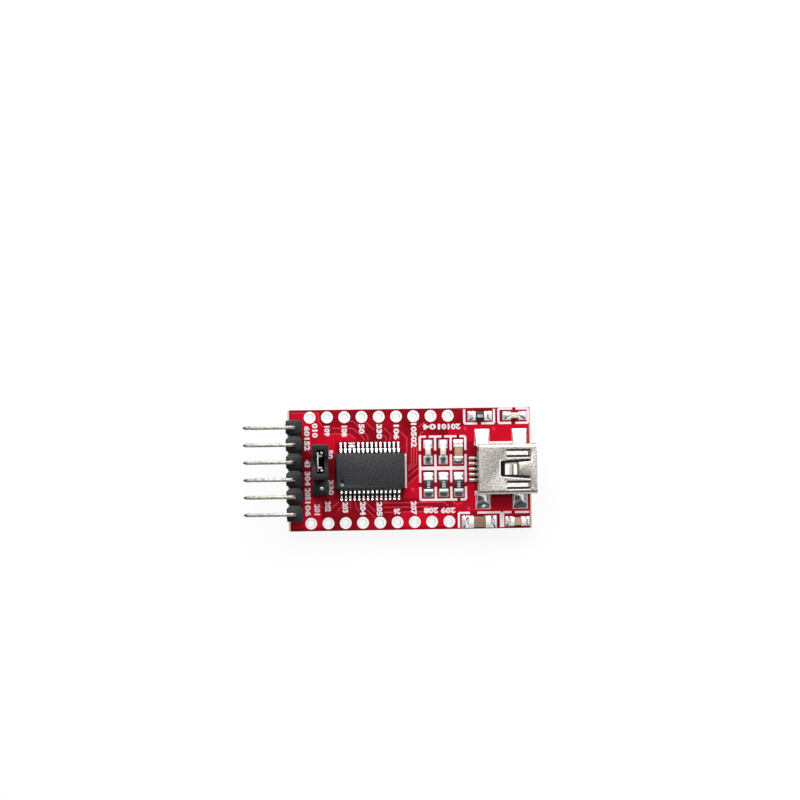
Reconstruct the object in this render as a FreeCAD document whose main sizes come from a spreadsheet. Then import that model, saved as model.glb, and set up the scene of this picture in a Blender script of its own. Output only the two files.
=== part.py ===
import FreeCAD, Part
import os
import re

import Sketcher

# A small adapter board: a mini socket at one end, a six-pin bent header at the
# other, a converter chip between them, a three-pin voltage selector with its
# pull-off shunt, and chip resistors, capacitors and lamps on the top side.
# Lengths are in millimetres. The board's underside centre is the origin, +X
# runs towards the socket, +Y across the board and +Z up from the top side.

SIZES = [
    ("board_length", 35.8, "laminate, end to end"),
    ("drawn_length", 35.8, "board length at which the stretched sizes are as written"),
    ("board_width", 17.78, "laminate, side to side"),
    ("board_thickness", 1.6, "laminate with its copper"),
    ("score_width", 0.25, "slope of the scored short ends, along the board"),
    ("score_depth", 0.5, "that slope, down from each face"),
    ("row_holes", 9, "plated holes along each long edge"),
    ("row_pitch", 2.54, "hole to hole along an edge"),
    ("row_margin", 1.12, "long board edge to its row of holes"),
    ("row_inset", 3.27, "board end to the first hole"),
    ("hole_radius", 0.5, "finished bore of a plated hole"),
    ("ring_radius", 0.88, "outside of a hole's tinned ring"),
    ("ring_proud", 0.04, "how far a ring stands off the laminate"),
    ("pin_pitch", 2.54, "header pin to header pin"),
    ("pin_width", 0.54, "square pin, across its flats"),
    ("pin_play", 0.02, "room round a pin in its plastic strip"),
    ("pin_hole_room", 0.03, "pin corners to the flats of the bore they are soldered into"),
    ("pin_tail", 1.3, "pin below the board's underside"),
    ("pin_tip_chamfer", 0.14, "chamfer round each pin end"),
    ("strip_width", 2.4, "plastic strip across its row"),
    ("strip_height", 2.54, "plastic strip above the board"),
    ("strip_corner", 0.38, "cut corner of each strip cell"),
    ("strip_trim", 0.18, "how much shorter the end cells of a strip are"),
    ("header_pins", 6, "pins in the bent header"),
    ("header_inset", 0.87, "board end to the bent header's pin line"),
    ("bent_leg_rise", 0.45, "plastic strip to the underside of a bent leg"),
    ("bent_leg_reach", 7.47, "pin line to the free pin tips"),
    ("pin_bend_radius", 0.42, "inside radius of the pin's bend"),
    ("selector_pins", 3, "pins in the voltage selector"),
    ("selector_inset", 4.7, "board end to the selector's pin line"),
    ("selector_pin_free", 5.86, "selector strip to the tips of its pins"),
    ("joint_film", 0.07, "solder over the pin's corners at the joint's thin end"),
    ("joint_spread", 0.33, "how much wider the joint is at the board"),
    ("joint_height", 0.9, "solder joint along the pin"),
    ("shunt_width", 2.4, "shunt across the selector row"),
    ("shunt_height", 6.0, "shunt from its foot to its open top"),
    ("shunt_lift", 0.04, "shunt's foot above the strip it stops on"),
    ("shunt_corner", 0.35, "rounded upright corners of the shunt"),
    ("well_end_room", 0.14, "pins to the ends of the well that they stand in"),
    ("well_side_room", 0.06, "pins to the side of the well without the clip"),
    ("well_width", 1.06, "that well across the row"),
    ("waist_length", 1.4, "lowered middle of the shunt's top"),
    ("waist_depth", 1.1, "how far the middle is lowered"),
    ("clip_thickness", 0.22, "sheet of the shunt's contact clip"),
    ("clip_room", 0.05, "clip to the plastic and to the pins"),
    ("clip_drop", 0.35, "clip's top edge below the shunt's top"),
    ("clip_height", 4.9, "clip from its lower to its upper edge"),
    ("clip_length", 2.8, "clip along the selector row"),
    ("clip_finger", 0.5, "clip fingers between the two pins"),
    ("chip_gap", 1.0, "selector strip to the chip's moulded body"),
    ("chip_y", -0.2, "chip centre across the board"),
    ("chip_length", 10.2, "moulded body along the lead rows"),
    ("chip_width", 5.3, "moulded body between the lead rows"),
    ("chip_thickness", 1.7, "moulded body"),
    ("chip_standoff", 0.1, "body above its pads"),
    ("chip_draft", 11, "slope of the moulded sides, in degrees"),
    ("chip_mark_radius", 0.42, "round dimple beside the first lead"),
    ("chip_mark_depth", 0.08, "depth of that dimple"),
    ("chip_mark_inset", 0.95, "dimple to the body's end and side"),
    ("leads_per_side", 14, "gull-wing leads on each long side"),
    ("lead_pitch", 0.65, "lead to lead"),
    ("lead_width", 0.3, "lead along the row"),
    ("lead_thickness", 0.18, "lead sheet"),
    ("lead_slant", 0.14, "sideways run of a lead's steep part"),
    ("lead_foot", 0.7, "flat foot of a lead"),
    ("lead_shoulder", 0.46, "level part of a lead beside the body"),
    ("pad_height", 0.05, "tinned pads above the laminate"),
    ("chip_pad_width", 0.42, "pad under a lead"),
    ("chip_pad_length", 1.6, "pad along a lead"),
    ("chip_pad_toe", 0.34, "pad beyond a lead's toe"),
    ("bridge_height", 0.22, "solder joining two neighbouring leads"),
    ("bridge_length", 0.85, "solder bridge along the leads"),
    ("socket_overhang", 0.5, "socket mouth past the board's end"),
    ("socket_y", -0.12, "socket's middle across the board"),
    ("shell_length", 8.5, "folded shell, back to mouth"),
    ("shell_width", 7.4, "folded shell at its wide upper part"),
    ("shell_height", 3.9, "folded shell, outside"),
    ("shell_wall", 0.3, "shell sheet"),
    ("shell_bend", 0.55, "outside radius of the shell's bends"),
    ("neck_width", 6.2, "narrow lower part of the shell"),
    ("neck_rise", 1.2, "height where the narrow part ends"),
    ("neck_slope", 0.6, "height of the slope above it"),
    ("latch_back", 5.37, "mouth to the back of the latch window"),
    ("latch_front", 0.86, "mouth to the latch's root"),
    ("latch_reach", 4.63, "mouth to the latch's free tip"),
    ("latch_tip_width", 1.64, "latch at its tip"),
    ("latch_root_width", 2.12, "latch at its root"),
    ("window_back_width", 2.26, "latch window at its back"),
    ("window_front_width", 2.92, "latch window at its front"),
    ("latch_knee", 2.6, "mouth to where the latch starts to dip"),
    ("latch_dip", 0.5, "depth of the latch's dip"),
    ("spring_width", 0.7, "side spring"),
    ("spring_slit", 0.2, "slit beside a side spring"),
    ("spring_back", 4.42, "mouth to a side spring's root"),
    ("spring_tip", 1.28, "mouth to a side spring's tip"),
    ("spring_front", 0.85, "mouth to the front of its window"),
    ("spring_dip", 0.35, "depth of a side spring's bead"),
    ("tab_length", 1.5, "soldered shell foot along the board"),
    ("tab_reach", 1.65, "a foot out from the narrow part's side"),
    ("front_tab_inset", 2.2, "mouth to the middle of the front feet"),
    ("rear_tab_inset", 0.8, "shell's back edge to the middle of the rear feet"),
    ("shell_pad_length", 2.2, "solder pad of a shell foot"),
    ("shell_pad_margin", 2.99, "long board edge to such a pad"),
    ("shell_pad_width", 2.5, "such a pad across the board"),
    ("plug_block_length", 2.5, "plastic block at the socket's back"),
    ("plug_block_inset", 0.25, "shell's back edge to the block"),
    ("block_play", 0.03, "plastic block inside the shell"),
    ("tongue_inset", 1.05, "mouth to the tip of the plastic tongue"),
    ("tongue_width", 4.2, "plastic tongue"),
    ("tongue_thickness", 0.9, "plastic tongue"),
    ("tongue_drop", 1.38, "shell's roof to the top of the tongue"),
    ("contact_pitch", 0.8, "socket contact to contact"),
    ("contact_count", 5, "socket contacts"),
    ("contact_width", 0.3, "socket contact"),
    ("contact_thickness", 0.18, "socket contact sheet"),
    ("contact_play", 0.02, "contact in its groove"),
    ("contact_foot_back", 1.15, "shell's back edge to a contact foot's end"),
    ("contact_foot", 0.8, "soldered contact foot"),
    ("contact_short", 0.35, "contacts end this far inside the tongue's tip"),
    ("contact_pad_length", 1.3, "pad under a contact foot"),
    ("contact_pad_width", 0.42, "pad under a contact foot"),
    ("small_length", 2.05, "small chip part, end to end"),
    ("small_width", 1.25, "small chip part"),
    ("large_length", 3.2, "large chip part, end to end"),
    ("large_width", 1.65, "large chip part"),
    ("end_film", 0.04, "metal ends proud of a chip part's body"),
    ("small_band", 0.38, "metal end along a small chip part"),
    ("large_band", 0.72, "metal end along the large chip part"),
    ("resistor_height", 0.5, "chip resistor"),
    ("small_cap_height", 0.95, "small ceramic capacitor"),
    ("large_cap_height", 1.3, "large ceramic capacitor"),
    ("wide_band", 0.5, "metal end along the small capacitor of the corner pair"),
    ("lamp_length", 1.6, "lamp, end to end"),
    ("lamp_width", 0.85, "lamp"),
    ("lamp_band", 0.25, "metal end along a lamp"),
    ("lamp_solder", 1.0, "solder beyond a lamp's end"),
    ("lamp_pad_width", 1.3, "pad under a lamp's end, across it"),
    ("lamp_base_height", 0.3, "lamp's carrier plate"),
    ("lamp_lens_height", 0.45, "lamp's clear moulding"),
    ("lamp_lens_length", 1.1, "clear moulding at its foot"),
    ("lamp_lens_slope", 0.12, "inward slope of the moulding's ends"),
    ("lamp_notch_radius", 0.18, "half-round notch in each lamp end"),
    ("small_solder", 0.78, "solder beyond a small part's end"),
    ("large_solder", 0.98, "solder beyond the large part's end"),
    ("solder_margin", 0.08, "solder beside a chip part's side"),
    ("climb_ratio", 0.6, "share of a part's height that its solder climbs"),
    ("column_gap", 2.75, "socket's back edge to the nearest column of chip parts"),
    ("column_pitch", 2.23, "one column of chip parts to the next"),
    ("lamp_row", 2.47, "row with two lamps and a capacitor"),
    ("resistor_row", -2.32, "row with three resistors"),
    ("corner_resistor_inset", 7.5, "board end to the resistor of the upper corner pair"),
    ("corner_lamp_inset", 2.35, "board end to the lamp beside it"),
    ("large_cap_inset", 7.8, "board end to the large capacitor"),
    ("small_cap_inset", 2.16, "board end to the small capacitor beside it"),
    ("upper_part_margin", 1.21, "long board edge to the corner pair on the lamp side"),
    ("lower_part_margin", 1.0, "long board edge to the corner pair with two capacitors"),
]

# Sizes that keep their share of the board's length when that changes
STRETCHED = {
    "row_pitch",
    "selector_inset",
    "chip_gap",
    "chip_length",
    "lead_pitch",
    "lead_width",
    "chip_pad_width",
    "column_gap",
    "column_pitch",
    "corner_resistor_inset",
    "corner_lamp_inset",
    "large_cap_inset",
    "small_cap_inset",
    "small_length",
    "small_width",
    "small_band",
    "small_solder",
    "large_length",
    "large_width",
    "large_band",
    "large_solder",
    "wide_band",
    "lamp_length",
    "lamp_width",
    "lamp_band",
    "lamp_solder",
    "lamp_pad_width",
    "lamp_lens_length",
    "lamp_notch_radius",
}

doc = FreeCAD.newDocument("serial_adapter")
sheet = doc.addObject("Spreadsheet::Sheet", "sizes")
for row, (alias, number, meaning) in enumerate(SIZES, 1):
    sheet.set(f"A{row}", alias)
    sheet.setAlias(f"B{row}", alias)
    sheet.set(f"C{row}", meaning)
for row, (alias, number, meaning) in enumerate(SIZES, 1):
    share = " * board_length / drawn_length" if alias in STRETCHED else ""
    sheet.set(f"B{row}", f"={number}{share}")
doc.recompute()
ALIASES = {alias for alias, number, meaning in SIZES}

# Places that several pieces share, as expressions over the sheet's cells
TOP = "board_thickness"
PAD_TOP = "(board_thickness + pad_height)"
STRIP_TOP = "(board_thickness + strip_height)"
BOARD_END = "(board_length / 2)"
FIRST_HOLE = "(row_inset - board_length / 2)"
HEADER_LINE = "(header_inset - board_length / 2)"
SELECTOR_LINE = "(selector_inset - board_length / 2)"
MOUTH = "(board_length / 2 + socket_overhang)"
SHELL_BACK = "(board_length / 2 + socket_overhang - shell_length)"
SHELL_TOP = f"({PAD_TOP} + shell_height)"
ROW_LINE = "(board_width / 2 - row_margin)"
PIN_CORNER = "(pin_width / sqrt(2))"
TONGUE_FOOT = f"({SHELL_TOP} - tongue_drop - tongue_thickness)"
TONGUE_TIP = f"({MOUTH} - tongue_inset)"
CHIP_X = f"({SELECTOR_LINE} + strip_width / 2 + chip_gap + chip_length / 2)"
LEAD_HEEL = "(chip_width / 2 + lead_shoulder + lead_slant)"
LEAD_TOE = "(chip_width / 2 + lead_shoulder + lead_slant + lead_foot)"
CHIP_PAD_END = f"({LEAD_TOE} + chip_pad_toe)"
TAB_MIDDLES = (f"({SHELL_BACK} + rear_tab_inset)", f"({MOUTH} - front_tab_inset)")
SPRING_LINE = "((window_front_width / 2 + shell_width / 2 - shell_bend) / 2)"
WELL_LENGTH = "(pin_pitch + pin_width + 2 * well_end_room)"
SHUNT_LENGTH = "(2 * pin_pitch)"

# Small round outlines that are drawn with flat facets
RING_SIDES = 12
JOINT_SIDES = 8

published = []


def bound(text):
    """An expression with each size named as the sheet's cell."""
    return re.sub(
        r"[a-z][a-z_]*",
        lambda found: f"sizes.{found.group()}" if found.group() in ALIASES else found.group(),
        str(text),
    )


def value(text):
    """The number that an expression over the sheet's cells stands for."""
    return float(sheet.evalExpression(bound(text)))


def bind(thing, **cells):
    """Tie properties of an object to expressions; x, y and z are its place."""
    for name, text in cells.items():
        path = f"Placement.Base.{name}" if name in ("x", "y", "z") else name
        thing.setExpression(path, bound(text))


def publish(thing, label):
    """Give a finished sub-part the label that names its file."""
    thing.Label = label
    published.append(thing)
    return thing


# Primitives


def box(name, low, span):
    """A block from its lowest corner and its three spans."""
    block = doc.addObject("Part::Box", name)
    bind(block, Length=span[0], Width=span[1], Height=span[2], x=low[0], y=low[1], z=low[2])
    return block


def centred_box(name, middle, span, foot):
    """A block centred on a point of the board, standing at a height."""
    low = (f"{middle[0]} - ({span[0]}) / 2", f"{middle[1]} - ({span[1]}) / 2", foot)
    return box(name, low, span)


def cut(name, base, tool):
    """One shape with another taken out of it."""
    result = doc.addObject("Part::Cut", name)
    result.Base = base
    result.Tool = tool
    return result


def group(name, pieces):
    """Several separate solids in one node."""
    result = doc.addObject("Part::Compound", name)
    result.Links = pieces
    return result


# Bodies with sketches


def new_body(label):
    """A PartDesign body that may hold several like solids."""
    body = doc.addObject("PartDesign::Body", label)
    body.AllowCompound = True
    return publish(body, label)


def origin_feature(body, role):
    return next(found for found in body.Origin.OriginFeatures if found.Role == role)


def new_sketch(body, plane, offset="0"):
    """A sketch on one of the body's own planes, moved along the plane's normal."""
    sketch = body.newObject("Sketcher::SketchObject", f"{body.Label}_sketch")
    sketch.AttachmentSupport = [(origin_feature(body, plane), "")]
    sketch.MapMode = "FlatFace"
    sketch.setExpression("AttachmentOffset.Base.z", bound(offset))
    return sketch


def pin_point(sketch, geometry, point, place):
    """Fix a point of a sketch at a pair of expressions."""
    for kind, text in zip(("DistanceX", "DistanceY"), place):
        rule = Sketcher.Constraint(kind, -1, 1, geometry, point, value(text))
        index = sketch.addConstraint(rule)
        sketch.setExpression(f"Constraints[{index}]", bound(text))


def polygon(sketch, corners):
    """A closed outline through corners that are pairs of expressions."""
    first = sketch.GeometryCount
    count = len(corners)
    points = [FreeCAD.Vector(value(x), value(y), 0) for x, y in corners]
    for start, end in zip(points, points[1:] + points[:1]):
        sketch.addGeometry(Part.LineSegment(start, end), False)
    for i in range(count):
        follower = first + (i + 1) % count
        sketch.addConstraint(Sketcher.Constraint("Coincident", first + i, 2, follower, 1))
    for i, corner in enumerate(corners):
        pin_point(sketch, first + i, 1, corner)


def rectangle(sketch, low, high):
    polygon(sketch, [low, (high[0], low[1]), high, (low[0], high[1])])


def circle(sketch, centre, radius):
    """A circle at a pair of expressions, with its radius bound too."""
    middle = FreeCAD.Vector(value(centre[0]), value(centre[1]), 0)
    normal = FreeCAD.Vector(0, 0, 1)
    index = sketch.addGeometry(Part.Circle(middle, normal, value(radius)), False)
    rule = sketch.addConstraint(Sketcher.Constraint("Radius", index, value(radius)))
    sketch.setExpression(f"Constraints[{rule}]", bound(radius))
    pin_point(sketch, index, 3, centre)


def facets(sketch, centre, radius, sides):
    """A regular outline of flat facets about a pair of expressions."""
    turns = [(i + 0.5) * 360 / sides for i in range(sides)]
    polygon(
        sketch,
        [(f"{centre[0]} + {radius} * cos({t})", f"{centre[1]} + {radius} * sin({t})") for t in turns],
    )


def pad(body, sketch, length, symmetric=False):
    """Raise a sketch from its plane, or to both sides of it."""
    feature = body.newObject("PartDesign::Pad", f"{body.Label}_pad")
    feature.Profile = sketch
    if symmetric:
        feature.SideType = "Symmetric"
    bind(feature, Length=length)
    body.Tip = feature
    return feature


def drafted_pad(body, sketch, lengths, angle):
    """Raise a sketch by one or two lengths, drawn in by an angle on the way."""
    feature = pad(body, sketch, lengths[0])
    bind(feature, TaperAngle=f"-({angle})")
    if len(lengths) == 2:
        feature.SideType = "Two sides"
        bind(feature, Length2=lengths[1], TaperAngle2=f"-({angle})")
    else:
        feature.Reversed = True
    return feature


def pocket(body, sketch, depth=None, upwards=False):
    """Sink a sketch into the body, right through where no depth is given."""
    feature = body.newObject("PartDesign::Pocket", f"{body.Label}_pocket")
    feature.Profile = sketch
    feature.Reversed = upwards
    if depth is None:
        feature.Type = "ThroughAll"
    else:
        bind(feature, Length=depth)
    body.Tip = feature
    return feature


def row_of(body, features, axis, pitch, count):
    """Repeat features along one of the body's own axes."""
    pattern = body.newObject("PartDesign::LinearPattern", f"{body.Label}_row")
    pattern.Originals = features
    pattern.Direction = (origin_feature(body, axis), [""])
    pattern.Mode = "Extent"
    bind(pattern, Length=f"({count} - 1) * {pitch}", Occurrences=count)
    body.Tip = pattern
    return pattern


def edge_names(feature, wanted):
    """Names of the edges of a feature that a test picks."""
    doc.recompute()
    return [f"Edge{i}" for i, edge in enumerate(feature.Shape.Edges, 1) if wanted(edge)]


def dress(body, kind, feature, wanted, amount):
    """Fillet or chamfer the edges that a test picks."""
    finish = body.newObject(f"PartDesign::{kind}", f"{body.Label}_{kind.lower()}")
    finish.Base = (feature, edge_names(feature, wanted))
    bind(finish, **{"Radius" if kind == "Fillet" else "Size": amount})
    body.Tip = finish
    return finish


def lies_on(edge, axis, level):
    """Whether every end of an edge is at a level along x, y or z."""
    return all(abs(getattr(vertex.Point, axis) - level) < 1e-4 for vertex in edge.Vertexes)


# The board and its plated holes


def circuit_board():
    body = new_body("circuit_board")
    outline = new_sketch(body, "XZ_Plane")
    right = [
        (f"{BOARD_END} - score_width", "0"),
        (BOARD_END, "score_depth"),
        (BOARD_END, f"{TOP} - score_depth"),
        (f"{BOARD_END} - score_width", TOP),
    ]
    polygon(outline, right + [(f"-({x})", z) for x, z in reversed(right)])
    pad(body, outline, "board_width", symmetric=True)
    seats = new_sketch(body, "XY_Plane")
    for side in ("", "-"):
        facets(seats, (FIRST_HOLE, f"{side}{ROW_LINE}"), "ring_radius", RING_SIDES)
    drilled = pocket(body, seats, upwards=True)
    row_of(body, [drilled], "X_Axis", "row_pitch", "row_holes")
    for line, count in ((HEADER_LINE, "header_pins"), (SELECTOR_LINE, "selector_pins")):
        bores = new_sketch(body, "XY_Plane")
        first = f"-({count} - 1) * pin_pitch / 2"
        flats = f"({PIN_CORNER} + pin_hole_room) / cos(180 / {JOINT_SIDES})"
        facets(bores, (line, first), flats, JOINT_SIDES)
        drilled = pocket(body, bores, upwards=True)
        row_of(body, [drilled], "Y_Axis", "pin_pitch", count)


def edge_hole_rings():
    """The tinned sleeves of the two edge rows, proud of both faces."""
    body = new_body("edge_hole_rings")
    outline = new_sketch(body, "XY_Plane", "-ring_proud")
    for side in ("", "-"):
        centre = (FIRST_HOLE, f"{side}{ROW_LINE}")
        facets(outline, centre, "ring_radius", RING_SIDES)
        circle(outline, centre, "hole_radius")
    sleeve = pad(body, outline, "board_thickness + 2 * ring_proud")
    row_of(body, [sleeve], "X_Axis", "row_pitch", "row_holes")


# The two pin strips


def pin_strip(label, line, count):
    """A row of eight-sided plastic cells, each with a square hole for its pin."""
    body = new_body(label)
    first = f"(-({count} - 1) * pin_pitch / 2)"
    across, along, corner = "strip_width / 2", "pin_pitch / 2", "strip_corner"
    cell = new_sketch(body, "XY_Plane", TOP)
    corners = []
    for sx, sy in (("", ""), ("-", ""), ("-", "-"), ("", "-")):
        near = (f"{line} + {sx or '+'}({across})", f"{first} + {sy or '+'}({along} - {corner})")
        far = (f"{line} + {sx or '+'}({across} - {corner})", f"{first} + {sy or '+'}({along})")
        corners += [near, far] if sx == sy else [far, near]
    polygon(cell, corners)
    block = pad(body, cell, "strip_height")
    hole = new_sketch(body, "XY_Plane", TOP)
    half = "(pin_width / 2 + pin_play)"
    rectangle(
        hole,
        (f"{line} - {half}", f"{first} - {half}"),
        (f"{line} + {half}", f"{first} + {half}"),
    )
    bore = pocket(body, hole, upwards=True)
    row_of(body, [block, bore], "Y_Axis", "pin_pitch", count)
    ends = new_sketch(body, "XY_Plane", TOP)
    for sign in ("", "-"):
        end = f"{count} * pin_pitch / 2"
        rectangle(
            ends,
            (f"{line} - strip_width", f"{sign}({end} - strip_trim)"),
            (f"{line} + strip_width", f"{sign}({end} + strip_trim)"),
        )
    pocket(body, ends, upwards=True)


def pin_place(count, number):
    """Where one pin stands along its row, counted from the -Y end."""
    return f"({number - 1} - ({count} - 1) / 2) * pin_pitch"


def bent_pin(number):
    """A square pin soldered upright, bent over its strip to point off the board."""
    body = new_body(f"header_pin_{number}")
    half = "pin_width / 2"
    under = f"({STRIP_TOP} + bent_leg_rise)"
    over = f"({under} + pin_width)"
    outline = new_sketch(body, "XZ_Plane")
    polygon(
        outline,
        [
            (f"-{half}", "-pin_tail"),
            (half, "-pin_tail"),
            (half, over),
            ("-bent_leg_reach", over),
            ("-bent_leg_reach", under),
            (f"-{half}", under),
        ],
    )
    stock = pad(body, outline, "pin_width", symmetric=True)
    half_width, inner, outer = value(half), value(under), value(over)

    def at_corner(edge, x, z):
        return lies_on(edge, "x", x) and lies_on(edge, "z", z)

    inside = dress(body, "Fillet", stock, lambda e: at_corner(e, -half_width, inner), "pin_bend_radius")
    outside = dress(
        body, "Fillet", inside, lambda e: at_corner(e, half_width, outer), "pin_bend_radius + pin_width"
    )
    ends = [("z", -value("pin_tail")), ("x", -value("bent_leg_reach"))]
    dress(
        body,
        "Chamfer",
        outside,
        lambda e: any(lies_on(e, axis, level) for axis, level in ends),
        "pin_tip_chamfer",
    )
    bind(body, x=HEADER_LINE, y=pin_place("header_pins", number))


def straight_pin(number):
    """A square pin that stands straight up through the selector's strip."""
    body = new_body(f"selector_pin_{number}")
    half = "pin_width / 2"
    outline = new_sketch(body, "XY_Plane", "-pin_tail")
    rectangle(outline, (f"-{half}", f"-{half}"), (half, half))
    stock = pad(body, outline, f"pin_tail + {STRIP_TOP} + selector_pin_free")
    ends = [-value("pin_tail"), value(f"{STRIP_TOP} + selector_pin_free")]
    dress(
        body,
        "Chamfer",
        stock,
        lambda e: any(lies_on(e, "z", level) for level in ends),
        "pin_tip_chamfer",
    )
    bind(body, x=SELECTOR_LINE, y=pin_place("selector_pins", number))


def pin_joints(label, line, count):
    """Tapering collars of solder round the pin tails, under the board."""
    body = new_body(label)
    first = f"(-({count} - 1) * pin_pitch / 2)"
    outline = new_sketch(body, "XY_Plane")
    flats = f"({PIN_CORNER} + joint_film + joint_spread) / cos(180 / {JOINT_SIDES})"
    facets(outline, (line, first), flats, JOINT_SIDES)
    slope = "atan(joint_spread / joint_height)"
    collar = drafted_pad(body, outline, ["joint_height"], slope)
    hole = new_sketch(body, "XY_Plane", "-joint_height")
    half = "pin_width / 2"
    rectangle(
        hole,
        (f"{line} - {half}", f"{first} - {half}"),
        (f"{line} + {half}", f"{first} + {half}"),
    )
    bore = pocket(body, hole, upwards=True)
    row_of(body, [collar, bore], "Y_Axis", "pin_pitch", count)


# The pull-off shunt on the two upper selector pins


def shunt_frame():
    """The middle of the shunt and its well, along x and along y."""
    return f"({SELECTOR_LINE} + pin_width / 2 + well_side_room - well_width / 2)", "(pin_pitch / 2)"


def shunt_housing():
    body = new_body("shunt_housing")
    x, y = shunt_frame()
    foot = f"{STRIP_TOP} + shunt_lift"
    outline = new_sketch(body, "XY_Plane", foot)
    rectangle(
        outline,
        (f"{x} - shunt_width / 2", f"{y} - {SHUNT_LENGTH} / 2"),
        (f"{x} + shunt_width / 2", f"{y} + {SHUNT_LENGTH} / 2"),
    )
    block = pad(body, outline, "shunt_height")
    block = dress(body, "Fillet", block, lambda e: len({round(v.Z, 3) for v in e.Vertexes}) == 2, "shunt_corner")
    well = new_sketch(body, "XY_Plane", foot)
    rectangle(
        well,
        (f"{x} - well_width / 2", f"{y} - {WELL_LENGTH} / 2"),
        (f"{x} + well_width / 2", f"{y} + {WELL_LENGTH} / 2"),
    )
    pocket(body, well, upwards=True)
    waist = new_sketch(body, "XY_Plane", f"{foot} + shunt_height - waist_depth")
    rectangle(
        waist,
        (f"{x} - shunt_width", f"{y} - waist_length / 2"),
        (f"{x} + shunt_width", f"{y} + waist_length / 2"),
    )
    pocket(body, waist, upwards=True)


def shunt_clip():
    """The contact: a spine along one wall, with a finger beside each pin."""
    body = new_body("shunt_clip")
    x, y = shunt_frame()
    wall = f"({x} - well_width / 2 + clip_room)"
    spine = f"({wall} + clip_thickness)"
    finger = f"({wall} + clip_thickness + clip_finger)"
    far = "(clip_length / 2)"
    beside = "(pin_pitch / 2 - pin_width / 2 - clip_room)"
    inner = f"({beside} - clip_thickness)"
    corners = [(wall, f"{y} - {far}"), (spine, f"{y} - {far}")]
    for side, first, second in (("-", beside, inner), ("+", inner, beside)):
        corners += [
            (spine, f"{y} {side} {first}"),
            (finger, f"{y} {side} {first}"),
            (finger, f"{y} {side} {second}"),
            (spine, f"{y} {side} {second}"),
        ]
    corners += [(spine, f"{y} + {far}"), (wall, f"{y} + {far}")]
    foot = f"{STRIP_TOP} + shunt_lift + shunt_height - clip_drop - clip_height"
    outline = new_sketch(body, "XY_Plane", foot)
    polygon(outline, corners)
    pad(body, outline, "clip_height")


# The converter chip


def chip_body():
    body = new_body("chip_body")
    outline = new_sketch(body, "XY_Plane", f"{PAD_TOP} + chip_standoff + chip_thickness / 2")
    rectangle(
        outline,
        ("-chip_length / 2", "-chip_width / 2"),
        ("chip_length / 2", "chip_width / 2"),
    )
    drafted_pad(body, outline, ["chip_thickness / 2", "chip_thickness / 2"], "chip_draft")
    mark = new_sketch(body, "XY_Plane", f"{PAD_TOP} + chip_standoff + chip_thickness")
    corner = ("chip_mark_inset - chip_length / 2", "chip_mark_inset - chip_width / 2")
    facets(mark, corner, "chip_mark_radius", RING_SIDES)
    pocket(body, mark, "chip_mark_depth")
    bind(body, x=CHIP_X, y="chip_y")


def lead_outline(side):
    """One gull-wing lead seen from the chip's end, with a facet at each bend."""
    middle = f"({PAD_TOP} + chip_standoff + chip_thickness / 2)"
    root = "(chip_width / 2)"
    toe, heel = LEAD_TOE, LEAD_HEEL
    shoulder = "(chip_width / 2 + lead_shoulder)"
    thick = "lead_thickness"
    upper, lower = f"({middle} + {thick} / 2)", f"({middle} - {thick} / 2)"
    ankle = f"({PAD_TOP} + {thick})"
    corners = [
        (root, upper),
        (f"{shoulder} - {thick} / 2", upper),
        (f"{shoulder} + {thick} / 2", f"{upper} - {thick} / 2"),
        (f"{heel} + {thick} / 2", f"{ankle} + {thick} / 2"),
        (f"{heel} + {thick}", ankle),
        (toe, ankle),
        (toe, PAD_TOP),
        (heel, PAD_TOP),
        (f"{heel} - {thick} / 2", f"{PAD_TOP} + {thick} / 2"),
        (f"{shoulder} - {thick} / 2", lower),
        (root, lower),
    ]
    return [(f"{side}({reach})", height) for reach, height in corners]


def chip_leads():
    body = new_body("chip_leads")
    outline = new_sketch(body, "YZ_Plane", "-(leads_per_side - 1) * lead_pitch / 2")
    for side in ("", "-"):
        polygon(outline, lead_outline(side))
    lead = pad(body, outline, "lead_width", symmetric=True)
    row_of(body, [lead], "X_Axis", "lead_pitch", "leads_per_side")
    bind(body, x=CHIP_X, y="chip_y")


def chip_pads():
    body = new_body("chip_pads")
    outline = new_sketch(body, "XY_Plane", TOP)
    middle = "(-(leads_per_side - 1) * lead_pitch / 2)"
    half = "chip_pad_width / 2"
    for side in ("", "-"):
        rectangle(
            outline,
            (f"{middle} - {half}", f"{side}({CHIP_PAD_END} - chip_pad_length)"),
            (f"{middle} + {half}", f"{side}{CHIP_PAD_END}"),
        )
    plate = pad(body, outline, "pad_height")
    row_of(body, [plate], "X_Axis", "lead_pitch", "leads_per_side")
    bind(body, x=CHIP_X, y="chip_y")


def solder_bridge():
    """Solder between the third and fourth leads of the upper row."""
    third = f"({CHIP_X} + (2 - (leads_per_side - 1) / 2) * lead_pitch)"
    low = (f"{third} + lead_width / 2", f"chip_y + {CHIP_PAD_END} - bridge_length", PAD_TOP)
    publish(
        box("bridge", low, ("lead_pitch - lead_width", "bridge_length", "bridge_height")),
        "solder_bridge",
    )


# The mini socket


def shell_section(inset):
    """Half-widths and heights of the shell's section, drawn in by an inset."""
    wide = f"(shell_width / 2 - {inset})"
    narrow = f"(neck_width / 2 - {inset})"
    foot, roof = f"({PAD_TOP} + {inset})", f"({SHELL_TOP} - {inset})"
    low = f"({PAD_TOP} + neck_rise)"
    high = f"({PAD_TOP} + neck_rise + neck_slope)"
    right = [(narrow, foot), (narrow, low), (wide, high), (wide, roof)]
    left = [(f"-{reach}", height) for reach, height in reversed(right)]
    return right + left


def dipped_strip(body, place, width, points):
    """A spring strip seen from the side: its upper line, and the same a wall lower."""
    outline = new_sketch(body, "XZ_Plane", f"-({place})")
    upper = [(f"{MOUTH} - ({x})", f"{SHELL_TOP} - ({drop})") for x, drop in points]
    lower = [(x, f"{height} - shell_wall") for x, height in reversed(upper)]
    polygon(outline, upper + lower)
    pad(body, outline, width, symmetric=True)


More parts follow.
